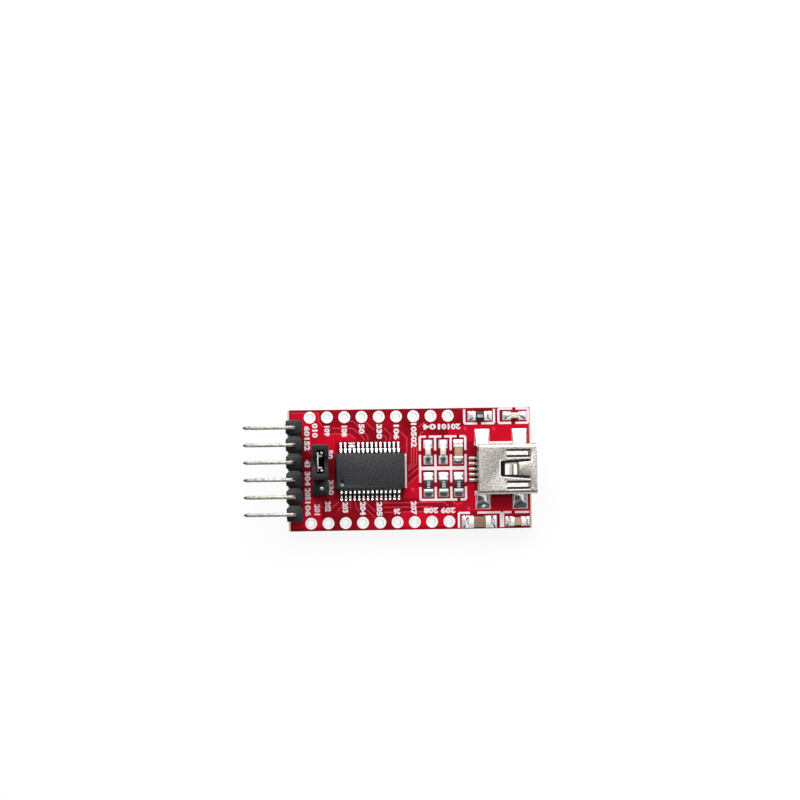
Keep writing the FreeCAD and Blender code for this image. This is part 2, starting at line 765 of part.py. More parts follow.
def usb_shell():
    """One folded sheet: a keyed tube with a latch and two springs cut from its roof."""
    body = new_body("socket_shell")
    section = new_sketch(body, "YZ_Plane", SHELL_BACK)
    polygon(section, shell_section("0"))
    tube = pad(body, section, "shell_length")
    roof = value(SHELL_TOP)
    side = value("shell_width / 2")

    def top_corner(edge):
        return lies_on(edge, "z", roof) and (lies_on(edge, "y", side) or lies_on(edge, "y", -side))

    tube = dress(body, "Fillet", tube, top_corner, "shell_bend")
    bore = new_sketch(body, "YZ_Plane", SHELL_BACK)
    polygon(bore, shell_section("shell_wall"))
    hollow = pocket(body, bore, upwards=True)
    inner_roof, inner_side = value(f"{SHELL_TOP} - shell_wall"), value("shell_width / 2 - shell_wall")

    def inner_corner(edge):
        return lies_on(edge, "z", inner_roof) and (
            lies_on(edge, "y", inner_side) or lies_on(edge, "y", -inner_side)
        )

    dress(body, "Fillet", hollow, inner_corner, "shell_bend - shell_wall")

    knee = new_sketch(body, "XY_Plane", SHELL_TOP)
    tip = f"{MOUTH} - latch_reach"
    blank = "(latch_root_width + window_back_width) / 4"
    rectangle(knee, (tip, f"-{blank}"), (f"{MOUTH} - latch_knee", blank))
    pocket(body, knee, "2 * shell_wall")
    dipped_strip(
        body,
        "0",
        f"2 * {blank}",
        [
            ("latch_reach", "0.35 * latch_dip"),
            ("latch_reach - 0.35 * (latch_reach - latch_knee)", "0.45 * latch_dip"),
            ("latch_knee + 0.36 * (latch_reach - latch_knee)", "latch_dip"),
            ("latch_knee + 0.18 * (latch_reach - latch_knee)", "0.9 * latch_dip"),
            ("latch_knee", "0"),
            ("latch_knee - shell_wall / 3", "0"),
        ],
    )
    windows = new_sketch(body, "XY_Plane", SHELL_TOP)
    back, front = f"{MOUTH} - latch_back", f"{MOUTH} - latch_front"
    polygon(
        windows,
        [
            (back, "-window_back_width / 2"),
            (front, "-window_front_width / 2"),
            (front, "-latch_root_width / 2"),
            (tip, "-latch_tip_width / 2"),
            (tip, "latch_tip_width / 2"),
            (front, "latch_root_width / 2"),
            (front, "window_front_width / 2"),
            (back, "window_back_width / 2"),
        ],
    )
    for sign in ("", "-"):
        reach = "(spring_width / 2 + spring_slit)"
        rectangle(
            windows,
            (f"{MOUTH} - spring_back", f"{sign}{SPRING_LINE} - {reach}"),
            (f"{MOUTH} - spring_front", f"{sign}{SPRING_LINE} + {reach}"),
        )
    pocket(body, windows, "2 * shell_wall + latch_dip")
    for sign in ("", "-"):
        dipped_strip(
            body,
            f"{sign}{SPRING_LINE}",
            "spring_width",
            [
                ("spring_back + shell_wall / 3", "0"),
                ("spring_back", "0"),
                ("spring_tip + 0.3 * (spring_back - spring_tip)", "0.55 * spring_dip"),
                ("spring_tip + 0.16 * (spring_back - spring_tip)", "spring_dip"),
                ("spring_tip", "0.5 * spring_dip"),
            ],
        )
    bind(body, y="socket_y")
    feet = new_sketch(body, "XY_Plane", PAD_TOP)
    for middle in TAB_MIDDLES:
        for sign in ("", "-"):
            rectangle(
                feet,
                (f"{middle} - tab_length / 2", f"{sign}(neck_width / 2 - shell_wall / 2)"),
                (f"{middle} + tab_length / 2", f"{sign}(neck_width / 2 + tab_reach)"),
            )
    pad(body, feet, "shell_wall")


def socket_block():
    """The plastic at the socket's back, with grooves for the contacts."""
    body = new_body("socket_block")
    start = f"{SHELL_BACK} + plug_block_inset"
    section = new_sketch(body, "YZ_Plane", start)
    corner = "(shell_bend - shell_wall)"
    outline = shell_section("(shell_wall + block_play)")
    roof = outline[3][1]
    wide = outline[3][0]
    top = [
        (wide, f"{roof} - {corner}"),
        (f"{wide} - {corner}", roof),
        (f"-({wide} - {corner})", roof),
        (f"-{wide}", f"{roof} - {corner}"),
    ]
    polygon(section, outline[:3] + top + outline[5:])
    pad(body, section, "plug_block_length")
    groove = new_sketch(body, "YZ_Plane", start)
    middle = "(-(contact_count - 1) * contact_pitch / 2)"
    half = "(contact_width / 2 + contact_play)"
    rectangle(
        groove,
        (f"{middle} - {half}", f"{TONGUE_FOOT} - contact_thickness - 2 * contact_play"),
        (f"{middle} + {half}", TONGUE_FOOT),
    )
    slot = pocket(body, groove, "plug_block_length", upwards=True)
    row_of(body, [slot], "Y_Axis", "contact_pitch", "contact_count")
    bind(body, y="socket_y")


def socket_tongue():
    """The plate in the plug's way, moulded on the block's front."""
    body = new_body("socket_tongue")
    front = f"{SHELL_BACK} + plug_block_inset + plug_block_length"
    section = new_sketch(body, "YZ_Plane", front)
    rectangle(
        section,
        ("-tongue_width / 2", TONGUE_FOOT),
        ("tongue_width / 2", f"{TONGUE_FOOT} + tongue_thickness"),
    )
    pad(body, section, f"{TONGUE_TIP} - ({front})")
    bind(body, y="socket_y")


def socket_contacts():
    """Five strips: a soldered foot, a riser, and a run under the tongue."""
    body = new_body("socket_contacts")
    outline = new_sketch(body, "XZ_Plane", "(contact_count - 1) * contact_pitch / 2")
    over = f"({TONGUE_FOOT} - contact_play)"
    under = f"({over} - contact_thickness)"
    heel = f"({SHELL_BACK} - contact_foot_back)"
    ankle = f"({heel} + contact_foot)"
    bend = f"({SHELL_BACK} + plug_block_inset)"
    tip = f"({TONGUE_TIP} - contact_short)"
    polygon(
        outline,
        [
            (heel, PAD_TOP),
            (f"{ankle} + contact_thickness / 3", PAD_TOP),
            (f"{bend} + contact_thickness / 3", under),
            (tip, under),
            (tip, over),
            (f"{bend} - contact_thickness / 3", over),
            (f"{ankle} - contact_thickness / 3", f"{PAD_TOP} + contact_thickness"),
            (heel, f"{PAD_TOP} + contact_thickness"),
        ],
    )
    strip = pad(body, outline, "contact_width", symmetric=True)
    row_of(body, [strip], "Y_Axis", "contact_pitch", "contact_count")
    bind(body, y="socket_y")


def socket_pads():
    """The tinned pads of the five contacts and the four shell feet."""
    middle = f"{SHELL_BACK} - contact_foot_back + contact_pad_length / 2 - pad_height"
    plates = []
    for number in range(int(value("contact_count"))):
        place = f"socket_y + ({number} - (contact_count - 1) / 2) * contact_pitch"
        span = ("contact_pad_length", "contact_pad_width", "pad_height")
        plates.append(centred_box(f"contact_pad_{number + 1}", (middle, place), span, TOP))
    for name, along in zip(("rear", "front"), TAB_MIDDLES):
        for side, sign in (("upper", ""), ("lower", "-")):
            across = f"socket_y {sign or '+'} (board_width / 2 - shell_pad_margin - shell_pad_width / 2)"
            span = ("shell_pad_length", "shell_pad_width", "pad_height")
            plates.append(centred_box(f"{name}_{side}_pad", (along, across), span, TOP))
    publish(group("pads_of_socket", plates), "socket_pads")


# Chip resistors, capacitors and lamps


class ChipPart:
    """The size and place of one part with metal ends, and its own axes."""

    def __init__(self, name, place, length, width, height, band, solder, along_y=False, pad_width=None):
        self.name, self.place = name, place
        self.length, self.width, self.height = length, width, height
        self.band, self.solder, self.along_y = band, solder, along_y
        self.pad_width = pad_width or f"({width} + 2 * solder_margin)"

    def block(self, suffix, shift, span, foot):
        """A block shifted along the part's own length, turned with the part."""
        x, y = self.place
        if self.along_y:
            return centred_box(f"{self.name}_{suffix}", (x, f"{y} + {shift}"), (span[1], span[0], span[2]), foot)
        return centred_box(f"{self.name}_{suffix}", (f"{x} + {shift}", y), span, foot)

    def ends(self, sheath, core):
        """Two metal ends that wrap a core, thin where the core fills them."""
        caps = []
        for number, sign in ((1, "-"), (2, "")):
            shift = f"{sign}({self.length} - {self.band}) / 2"
            cap = self.block(f"cap_{number}", shift, (self.band, sheath, self.height), PAD_TOP)
            caps.append(cut(f"{self.name}_end_{number}", cap, core))
        publish(group(f"{self.name}_ends_group", caps), f"{self.name}_ends")

    def fillets(self):
        """The two slopes of solder from the pads up the part's ends."""
        wedges = []
        for number, turn in ((1, 180), (2, 0)):
            wedge = doc.addObject("Part::Wedge", f"{self.name}_solder_{number}")
            top_width = f"({self.width} + 2 * solder_margin)"
            climb = f"({self.height}) * climb_ratio"
            bind(
                wedge,
                Xmin="0",
                Xmax=self.solder,
                X2min="0",
                X2max="solder_margin",
                Ymin="0",
                Ymax=climb,
                Zmin=f"-{self.pad_width} / 2",
                Zmax=f"{self.pad_width} / 2",
                Z2min=f"-{top_width} / 2",
                Z2max=f"{top_width} / 2",
            )
            upright = FreeCAD.Rotation(FreeCAD.Vector(1, 0, 0), 90)
            about = FreeCAD.Rotation(FreeCAD.Vector(0, 0, 1), turn + (90 if self.along_y else 0))
            wedge.Placement = FreeCAD.Placement(FreeCAD.Vector(), about * upright)
            reach = f"{'-' if turn else ''}({self.length}) / 2"
            x, y = self.place
            if self.along_y:
                bind(wedge, x=x, y=f"{y} + {reach}", z=PAD_TOP)
            else:
                bind(wedge, x=f"{x} + {reach}", y=y, z=PAD_TOP)
            wedges.append(wedge)
        return wedges

    def pads(self):
        """The two tinned pads that the part stands on."""
        plates = []
        for number, sign in ((1, "-"), (2, "")):
            span = (f"{self.band} + {self.solder}", self.pad_width, "pad_height")
            shift = f"{sign}({self.length} + {self.solder} - {self.band}) / 2"
            plates.append(self.block(f"pad_{number}", shift, span, TOP))
        return plates


def resistor(part):
    """A flat ceramic chip whose ends are wrapped over, under and round the tip."""
    core = part.block(
        "core",
        "0",
        (f"{part.length} - 2 * end_film", part.width, f"{part.height} - 2 * end_film"),
        f"{PAD_TOP} + end_film",
    )
    part.ends(part.width, core)
    publish(core, f"{part.name}_body")


def capacitor(part):
    """A ceramic block with a metal cup on each end."""
    core = part.block(
        "core",
        "0",
        (
            f"{part.length} - 2 * end_film",
            f"{part.width} - 2 * end_film",
            f"{part.height} - 2 * end_film",
        ),
        f"{PAD_TOP} + end_film",
    )
    part.ends(part.width, core)
    publish(core, f"{part.name}_body")


def lamp(part):
    """A carrier plate with notched metal ends and a clear block on top."""
    x, y = part.place
    plate = part.block("plate", "0", (part.length, part.width, "lamp_base_height"), PAD_TOP)
    notches = []
    for number, sign in ((1, "-"), (2, "")):
        notch = doc.addObject("Part::Prism", f"{part.name}_notch_{number}")
        notch.Polygon = JOINT_SIDES
        shift = f"{sign}({part.length}) / 2"
        place = (x, f"{y} + {shift}") if part.along_y else (f"{x} + {shift}", y)
        bind(notch, Circumradius="lamp_notch_radius", Height=part.height)
        bind(notch, x=place[0], y=place[1], z=PAD_TOP)
        notches.append(notch)
    bites = group(f"{part.name}_notches", notches)
    publish(cut(f"{part.name}_carrier", plate, bites), f"{part.name}_base")
    films = []
    for number, sign in ((1, "-"), (2, "")):
        shift = f"{sign}({part.length} - {part.band}) / 2"
        span = (part.band, part.width, "end_film")
        film = part.block(f"film_{number}", shift, span, f"{PAD_TOP} + lamp_base_height")
        films.append(cut(f"{part.name}_contact_{number}", film, bites))
    publish(group(f"{part.name}_films", films), f"{part.name}_ends")
    lens = doc.addObject("Part::Wedge", f"{part.name}_moulding")
    long_half, wide_half = "lamp_lens_length / 2", f"({part.width}) / 2"
    bind(
        lens,
        Xmin=f"-{long_half}",
        Xmax=long_half,
        X2min=f"-{long_half} + lamp_lens_slope",
        X2max=f"{long_half} - lamp_lens_slope",
        Ymin="0",
        Ymax="lamp_lens_height",
        Zmin=f"-{wide_half}",
        Zmax=wide_half,
        Z2min=f"-{wide_half} + lamp_lens_slope / 2",
        Z2max=f"{wide_half} - lamp_lens_slope / 2",
    )
    upright = FreeCAD.Rotation(FreeCAD.Vector(1, 0, 0), 90)
    about = FreeCAD.Rotation(FreeCAD.Vector(0, 0, 1), 90 if part.along_y else 0)
    lens.Placement = FreeCAD.Placement(FreeCAD.Vector(), about * upright)
    bind(lens, x=x, y=y, z=f"{PAD_TOP} + lamp_base_height")
    publish(lens, f"{part.name}_lens")


def small_part(name, place, height, along_y=True):
    return ChipPart(
        name, place, "small_length", "small_width", height, "small_band", "small_solder", along_y
    )


def lamp_part(name, place, along_y=True):
    height = "(lamp_base_height + lamp_lens_height)"
    sizes = ("lamp_length", "lamp_width", height, "lamp_band", "lamp_solder")
    return ChipPart(name, place, *sizes, along_y=along_y, pad_width="lamp_pad_width")


def chip_parts():
    columns = [f"({SHELL_BACK} - column_gap - {2 - i} * column_pitch)" for i in range(3)]
    upper, lower = "(board_width / 2 - upper_part_margin)", "(lower_part_margin - board_width / 2)"

    def corner(inset, row):
        return f"({BOARD_END} - {inset})", row

    lamps = [
        lamp_part("lamp_1", (columns[0], "lamp_row")),
        lamp_part("lamp_2", (columns[1], "lamp_row")),
        lamp_part("lamp_3", corner("corner_lamp_inset", upper), along_y=False),
    ]
    resistors = [
        small_part(f"resistor_{number}", (column, "resistor_row"), "resistor_height")
        for number, column in enumerate(columns, 1)
    ]
    place = corner("corner_resistor_inset", upper)
    resistors.append(small_part("resistor_4", place, "resistor_height", along_y=False))
    large = ("large_length", "large_width", "large_cap_height", "large_band", "large_solder")
    wide_ended = ("small_length", "small_width", "small_cap_height", "wide_band", "small_solder")
    capacitors = [
        small_part("capacitor_1", (columns[2], "lamp_row"), "small_cap_height"),
        ChipPart("capacitor_2", corner("large_cap_inset", lower), *large),
        ChipPart("capacitor_3", corner("small_cap_inset", lower), *wide_ended),
    ]
    for part in lamps:
        lamp(part)
    for part in resistors:
        resistor(part)
    for part in capacitors:
        capacitor(part)
    everything = lamps + resistors + capacitors
    plates = [plate for part in everything for plate in part.pads()]
    slopes = [wedge for part in everything for wedge in part.fillets()]
    publish(group("plates_of_parts", plates), "part_pads")
    publish(group("slopes_of_parts", slopes), "part_solder")


circuit_board()
edge_hole_rings()
pin_strip("header_strip", HEADER_LINE, "header_pins")
for number in range(1, int(value("header_pins")) + 1):
    bent_pin(number)
pin_joints("header_solder", HEADER_LINE, "header_pins")
pin_strip("selector_strip", SELECTOR_LINE, "selector_pins")
for number in range(1, int(value("selector_pins")) + 1):
    straight_pin(number)
pin_joints("selector_solder", SELECTOR_LINE, "selector_pins")
shunt_housing()
shunt_clip()
chip_body()
chip_leads()
chip_pads()
solder_bridge()
usb_shell()
socket_block()
socket_tongue()
socket_contacts()
socket_pads()
chip_parts()
doc.recompute()

failed = [thing.Label for thing in doc.Objects if {"Invalid", "Error"} & set(thing.State)]
broken = [thing.Label for thing in published if thing.Shape.isNull() or not thing.Shape.isValid()]
if failed or broken:
    raise SystemExit(f"failed features: {failed}; unsound shapes: {broken}")

os.makedirs("parts", exist_ok=True)
for thing in published:
    thing.Shape.exportStep(f"parts/{thing.Label}.step")
    print(f"{thing.Label}: {len(thing.Shape.Solids)} solids, {thing.Shape.Volume:.3f} cubic mm")
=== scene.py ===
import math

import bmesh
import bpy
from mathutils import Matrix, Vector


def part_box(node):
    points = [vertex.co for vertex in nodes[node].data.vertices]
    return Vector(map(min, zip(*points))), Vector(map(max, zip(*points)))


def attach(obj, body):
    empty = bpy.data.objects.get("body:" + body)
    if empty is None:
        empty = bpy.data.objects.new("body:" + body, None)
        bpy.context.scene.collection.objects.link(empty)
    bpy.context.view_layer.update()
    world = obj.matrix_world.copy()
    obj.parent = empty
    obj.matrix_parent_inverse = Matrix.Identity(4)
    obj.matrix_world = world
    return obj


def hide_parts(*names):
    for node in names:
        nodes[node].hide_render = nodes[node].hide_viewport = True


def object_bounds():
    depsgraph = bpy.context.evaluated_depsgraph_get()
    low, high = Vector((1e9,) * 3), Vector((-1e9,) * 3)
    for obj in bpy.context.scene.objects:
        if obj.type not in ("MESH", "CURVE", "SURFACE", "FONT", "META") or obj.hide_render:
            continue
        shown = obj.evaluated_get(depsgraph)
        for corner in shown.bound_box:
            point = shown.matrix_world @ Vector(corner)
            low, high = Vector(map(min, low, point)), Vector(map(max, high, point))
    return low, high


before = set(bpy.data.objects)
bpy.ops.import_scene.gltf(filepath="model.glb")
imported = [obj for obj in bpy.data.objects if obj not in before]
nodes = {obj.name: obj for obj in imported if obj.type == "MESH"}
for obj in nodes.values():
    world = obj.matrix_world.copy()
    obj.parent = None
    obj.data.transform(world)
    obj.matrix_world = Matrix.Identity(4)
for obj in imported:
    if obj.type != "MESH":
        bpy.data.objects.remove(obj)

# %% [markdown]
# # A small red adapter board, dressed over its CAD frame
# The board carries a mini USB socket at one end and a bent pin header at the
# other. Between them sit a converter chip and a handful of chip parts, and a
# three-pin selector with a pull-off shunt stands beside the header. The CAD
# model already holds every piece at its real place, so this lesson only adds
# what a camera sees: rounded edges, solder, print, traces and finishes.

CAD_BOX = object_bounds()
MM = 0.001
print("CAD box in millimetres:", [[round(v / MM, 2) for v in corner] for corner in CAD_BOX])


def node_box(name):
    """Lowest and highest corner of a CAD node, in millimetres."""
    low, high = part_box(name)
    return Vector(low) / MM, Vector(high) / MM


board_low, board_high = node_box("circuit_board")
TOP = board_high.z
PAD_TOP = node_box("part_pads")[1].z
print(f"board {board_high.x - board_low.x:.1f} by {2 * board_high.y:.1f} mm, {TOP:.1f} mm thick")

# %% [markdown]
# ## Node maths that reads as Python
# A finish is mostly arithmetic on a few patterns. One small class wraps a
# socket, so that `1 - mask * 0.4` adds the Math nodes by itself. A second class
# holds a node tree and has the one method that adds any other node; the sky
# uses it as well as every material.

# %% A socket with Python's operators


class Value:
    """One output socket of a node tree, with the operators that its maths needs."""

    def __init__(self, tools, socket):
        self.tools = tools
        self.socket = socket

    def maths(self, operation, first, second=0.0):
        return self.tools.node("ShaderNodeMath", {"operation": operation}, {0: first, 1: second})

    def __add__(self, other):
        return self.maths("ADD", self, other)

    def __radd__(self, other):
        return self.maths("ADD", other, self)

    def __sub__(self, other):
        return self.maths("SUBTRACT", self, other)

    def __rsub__(self, other):
        return self.maths("SUBTRACT", other, self)

    def __mul__(self, other):
        return self.maths("MULTIPLY", self, other)

    def over(self, level):
        """1 where the value is above a level, 0 elsewhere."""
        return self.maths("GREATER_THAN", self, level)

    def most(self, other):
        return self.maths("MAXIMUM", self, other)

    def size(self):
        return self.maths("ABSOLUTE", self)

    def ease(self, low, high, first=0.0, last=1.0):
        """Glide from one number to another while the value goes from low to high."""
        span = {"From Min": low, "From Max": high, "To Min": first, "To Max": last}
        return self.tools.node(
            "ShaderNodeMapRange", {"interpolation_type": "SMOOTHSTEP"}, {"Value": self, **span}
        )


# %% A node tree that adds nodes by one method


class Tools:
    """A node tree whose nodes are added one at a time."""

    def __init__(self, tree):
        self.tree = tree

    def link(self, given, socket):
        """Fill a socket with another node's output or with a constant."""
        if isinstance(given, Value):
            self.tree.links.new(given.socket, socket)
        else:
            socket.default_value = given

    def node(self, kind, settings=None, sockets=None, output=0):
        """Add a node, apply its settings, then fill its sockets by name or number."""
        made = self.tree.nodes.new(kind)
        for name, setting in (settings or {}).items():
            setattr(made, name, setting)
        for name, given in (sockets or {}).items():
            self.link(given, made.inputs[name])
        return Value(self, made.outputs[output])

    def split(self, vector):
        """The three parts of a vector as values."""
        parts = self.node("ShaderNodeSeparateXYZ", sockets={0: vector}).socket.node.outputs
        return [Value(self, part) for part in parts]


class Finish(Tools):
    """A Principled material with the patterns that these pieces need."""

    def __init__(self, name, **constants):
        self.material = bpy.data.materials.new(name)
        self.material.use_nodes = True
        super().__init__(self.material.node_tree)
        self.shader = self.tree.nodes["Principled BSDF"]
        for label, constant in constants.items():
            self.shader.inputs[label.replace("_", " ")].default_value = constant

    def place(self):
        """Object coordinates, in metres from the board's underside."""
        return self.node("ShaderNodeTexCoord", output="Object")

    def noise(self, grain_mm, detail=2.0, roughness=0.5, stretch=(1.0, 1.0, 1.0)):
        """Cloudy pattern with blobs of about a given size, drawn out where stretch is low."""
        place = self.node("ShaderNodeMapping", sockets={"Vector": self.place(), "Scale": stretch})
        grain = {"Scale": 1.0 / (grain_mm * MM), "Detail": detail, "Roughness": roughness}
        return self.node("ShaderNodeTexNoise", sockets={"Vector": place, **grain})

    def mix(self, share, first, second):
        """A blend of two colours by a share from 0 to 1."""
        made = self.tree.nodes.new("ShaderNodeMix")
        made.data_type = "RGBA"
        for name, given in (("Factor", share), ("A", first), ("B", second)):
            socket = next(s for s in made.inputs if s.name == name and s.enabled)
            self.link((*given, 1.0) if isinstance(given, tuple) else given, socket)
        return Value(self, next(s for s in made.outputs if s.enabled))

    def facing(self):
        """How far the surface faces along X, Y and Z, from -1 to 1."""
        return self.split(self.node("ShaderNodeNewGeometry", output="True Normal"))

    def set(self, label, value):
        self.link(value, self.shader.inputs[label])

    def bump(self, height, depth_mm, strength=1.0):
        """Feed a height, in parts of a depth, to the shader's normal."""
        relief = {"Height": height, "Distance": depth_mm * MM, "Strength": strength}
        self.set("Normal", self.node("ShaderNodeBump", sockets=relief))


def srgb(red, green, blue):
    """A colour as a picture shows it, 0 to 255, turned into light values."""
    parts = [part / 255 for part in (red, green, blue)]
    return tuple(p / 12.92 if p <= 0.04045 else ((p + 0.055) / 1.055) ** 2.4 for p in parts)


print("a picture's mid grey 128 is", round(srgb(128, 128, 128)[0], 3), "in light values")

# %% [markdown]
# ## Finishes of the board
# Solder mask is a thin glassy ink over copper and laminate. Where copper lies
# under it the red is bright, where bare laminate lies under it the red is
# deeper. Its gloss is kept weak, or the sky would veil the red. The cut faces
# of the board show the pale glass cloth instead, in fine layers.

# %% Solder mask, laminate and print
MASK_GLOSS = 0.07
CLOUD_MM, PEEL_MM = 2.6, 0.35


def mask_finish(name, deep, bright, relief=0.012):
    """Red ink with slow changes of depth and a fine orange-peel surface."""
    finish = Finish(name, Roughness=0.3, Specular_IOR_Level=MASK_GLOSS)
    clouds = finish.noise(CLOUD_MM, detail=4.0)
    finish.set("Base Color", finish.mix(clouds, deep, bright))
    finish.bump(finish.noise(PEEL_MM), relief, 0.5)
    return finish.material


def board_finish():
    """Red on the two faces, pale layered glass cloth on the cut ends, dark on the long sides."""
    finish = Finish("red_board", Specular_IOR_Level=MASK_GLOSS)
    clouds = finish.noise(CLOUD_MM, detail=4.0)
    red = finish.mix(clouds.ease(0.3, 0.7), srgb(116, 3, 16), srgb(152, 4, 25))
    layers = finish.noise(0.5, detail=4.0, stretch=(0.15, 0.15, 6.0))
    cloth = finish.mix(layers, srgb(196, 160, 146), srgb(242, 226, 214))
    dark_tone = finish.mix(layers, srgb(92, 16, 24), srgb(150, 62, 58))
    x, y = finish.facing()[:2]
    end = x.size().over(0.3)
    side = y.size().over(0.5)
    finish.set("Base Color", finish.mix(side, finish.mix(end, red, cloth), dark_tone))
    finish.set("Roughness", 0.3 + end.most(side) * 0.45)
    finish.bump(finish.noise(PEEL_MM) + end.most(side) * layers * 3, 0.012, 0.5)
    return finish.material


def ink_finish():
    """Screen-printed white: a little uneven, a trace of the red below."""
    finish = Finish("white_ink", Roughness=0.6, Specular_IOR_Level=0.3)
    patches = finish.noise(0.2, detail=3.0)
    finish.set("Base Color", finish.mix(patches, srgb(206, 178, 188), srgb(246, 236, 240)))
    finish.bump(patches, 0.01, 0.4)
    return finish.material


BOARD = board_finish()
POUR = mask_finish("red_over_copper", srgb(160, 3, 26), srgb(200, 6, 38))
# Mask over the traces: brighter red over copper, and paler pink as painted highlight where the mask's edges
# over the traces catch the light.
TRACE_PAINTED_HIGHLIGHT = mask_finish("red_over_trace_painted_highlight", srgb(176, 26, 48), srgb(214, 66, 84), 0.02)
# Deep red for painted shade on the mask between close joints.
SHADE = mask_finish("red_painted_shade_between_joints", srgb(30, 4, 8), srgb(66, 8, 14))
INK = ink_finish()
print("board finishes:", BOARD.name, POUR.name, TRACE_PAINTED_HIGHLIGHT.name, SHADE.name, INK.name)

# %% [markdown]
# ## Finishes of the metal
# Three metals show: bright solder, the plated pins, and the tinned steel of the
# socket, which is duller and finely grained from rolling. All of them are fully
# metallic, so their look comes from base colour, roughness and a little bump.

# %% Solder, pins and the socket's sheet
# Painted shade on solder: its dark colour, and the heights of the band at the leads' steps above the pads.
PAINTED_SHADE_TONE = srgb(52, 30, 28)
PAINTED_SHADE_STEP = (0.36, 0.83)
# Along X, where the pins' cut tips turn dark red-brown.
DARK_TIP_SPAN = (-24.45, -23.7)


def solder_finish(name, dark_tone=False):
    """Bright tin that froze in soft ripples; painted shade may darken its steep sides and the leads' steps.
    """
    finish = Finish(name, Metallic=1.0)
    ripples = finish.noise(0.6, detail=1.0)
    tone = finish.mix(ripples, srgb(226, 226, 230), srgb(252, 252, 252))
    # Painted shade: steep faces and the band at the leads' steps turn dark, in place of the dark board that
    # they would mirror.
    if dark_tone:
        steep = finish.facing()[2].ease(0.6, 0.9, 1.0, 0.0)
        height = finish.split(finish.place())[2]
        low, high = ((PAD_TOP + part) * MM for part in PAINTED_SHADE_STEP)
        step = height.ease(low, low + 0.05 * MM) * height.ease(high - 0.02 * MM, high, 1.0, 0.0)
        tone = finish.mix(steep.most(step), tone, PAINTED_SHADE_TONE)
    finish.set("Base Color", tone)
    finish.set("Roughness", 0.16 + ripples * 0.14)
    finish.bump(ripples, 0.04, 0.6)
    return finish.material


def tin_finish():
    """Matt tin plating, which spreads the light and so looks paler than solder."""
    finish = Finish("matt_tin", Metallic=1.0)
    grain = finish.noise(0.25, detail=3.0)
    finish.set("Base Color", finish.mix(grain, srgb(232, 230, 228), srgb(255, 254, 252)))
    finish.set("Roughness", 0.46 + grain * 0.12)
    finish.bump(grain, 0.01, 0.5)
    return finish.material


def pin_finish():
    """Plated square wire with drawing lines along it and cut tips that turn dark red-brown."""
    finish = Finish("plated_pin", Metallic=1.0)
    lines = finish.noise(0.16, detail=3.0, roughness=0.65, stretch=(0.35, 1.0, 0.35))
    start, end = (place * MM for place in DARK_TIP_SPAN)
    tip = finish.split(finish.place())[0].ease(start, end, 1.0, 0.0)
    metal = finish.mix(lines.ease(0.3, 0.7), srgb(150, 144, 132), srgb(236, 232, 222))
    finish.set("Base Color", finish.mix(tip, metal, srgb(92, 48, 46)))
    finish.set("Roughness", 0.24 + lines * 0.2)
    finish.bump(lines, 0.03, 0.5)
    return finish.material


def sheet_finish():
    """Tinned steel sheet: warm grey and speckled."""
    finish = Finish("socket_sheet", Metallic=1.0)
    specks = finish.noise(0.2, detail=2.0, roughness=0.6)
    tone = specks.ease(0.34, 0.66)
    finish.set("Base Color", finish.mix(tone, srgb(176, 171, 162), srgb(236, 232, 224)))
    finish.set("Roughness", 0.26 + specks * 0.2)
    finish.bump(specks, 0.025, 0.6)
    return finish.material


SOLDER = solder_finish("solder")
SOLDER_WITH_PAINTED_SHADE = solder_finish("solder_on_leads_painted_shade", dark_tone=True)
TIN = tin_finish()
PIN = pin_finish()
SHEET = sheet_finish()
print("metal finishes:", SOLDER.name, SOLDER_WITH_PAINTED_SHADE.name, TIN.name, PIN.name, SHEET.name)

# %% [markdown]
# ## Finishes of plastic and ceramic
# The strips and the shunt are glass-filled nylon, black with a low sheen. The
# chip is moulded in a charcoal epoxy with a fine sparkle. Ceramic capacitors
# are bare fired clay, resistors wear black glaze, and the lamps are clear resin
# over a pale carrier.

# %% Plastic, epoxy, ceramic and resin


def plain_finish(name, dark, light, grain_mm, roughness, depth_mm, **constants):
    """Two near colours mixed by noise, with the same noise as relief."""
    finish = Finish(name, **constants)
    grain = finish.noise(grain_mm, detail=3.0, roughness=0.6)
    finish.set("Base Color", finish.mix(grain.ease(0.3, 0.7), dark, light))
    finish.set("Roughness", roughness + grain * 0.12)
    finish.bump(grain, depth_mm, 0.5)
    return finish.material


SOFT_SHEEN = {"Specular_IOR_Level": 0.3}
NYLON = plain_finish("black_nylon", srgb(14, 12, 16), srgb(32, 30, 34), 0.3, 0.3, 0.02, **SOFT_SHEEN)
EPOXY = plain_finish("chip_epoxy", srgb(24, 24, 28), srgb(54, 52, 55), 0.22, 0.45, 0.01, **SOFT_SHEEN)
GLAZE = plain_finish("resistor_glaze", srgb(20, 18, 19), srgb(36, 33, 34), 0.3, 0.24, 0.01)
TAN = plain_finish("tan_ceramic", srgb(152, 124, 92), srgb(178, 150, 118), 0.2, 0.5, 0.01)
BROWN = plain_finish("brown_ceramic", srgb(112, 88, 66), srgb(136, 112, 88), 0.2, 0.5, 0.01)
CARRIER = plain_finish("lamp_carrier", srgb(214, 208, 196), srgb(236, 232, 222), 0.2, 0.45, 0.01)
CLEAR = {"Alpha": 0.85, "Coat_Weight": 0.6}
RESIN = plain_finish("lamp_resin", srgb(206, 204, 184), srgb(240, 234, 218), 0.3, 0.14, 0.004, **CLEAR)
NUMBER_INK = plain_finish("number_ink", srgb(150, 150, 150), srgb(206, 206, 206), 0.1, 0.5, 0.004)
DARK_DISH = plain_finish("polished_epoxy", srgb(6, 6, 7), srgb(18, 18, 20), 0.2, 0.16, 0.002, IOR=1.9)
print("plain finishes from", NYLON.name, "to", DARK_DISH.name)

# %% [markdown]
# ## From a bmesh to a piece
# Every new piece is built in millimetres, in the board's own frame, and scaled
# to metres once at the end. So a number in this script can be held against a
# calliper, and the finished object still sits at the origin as the CAD does.

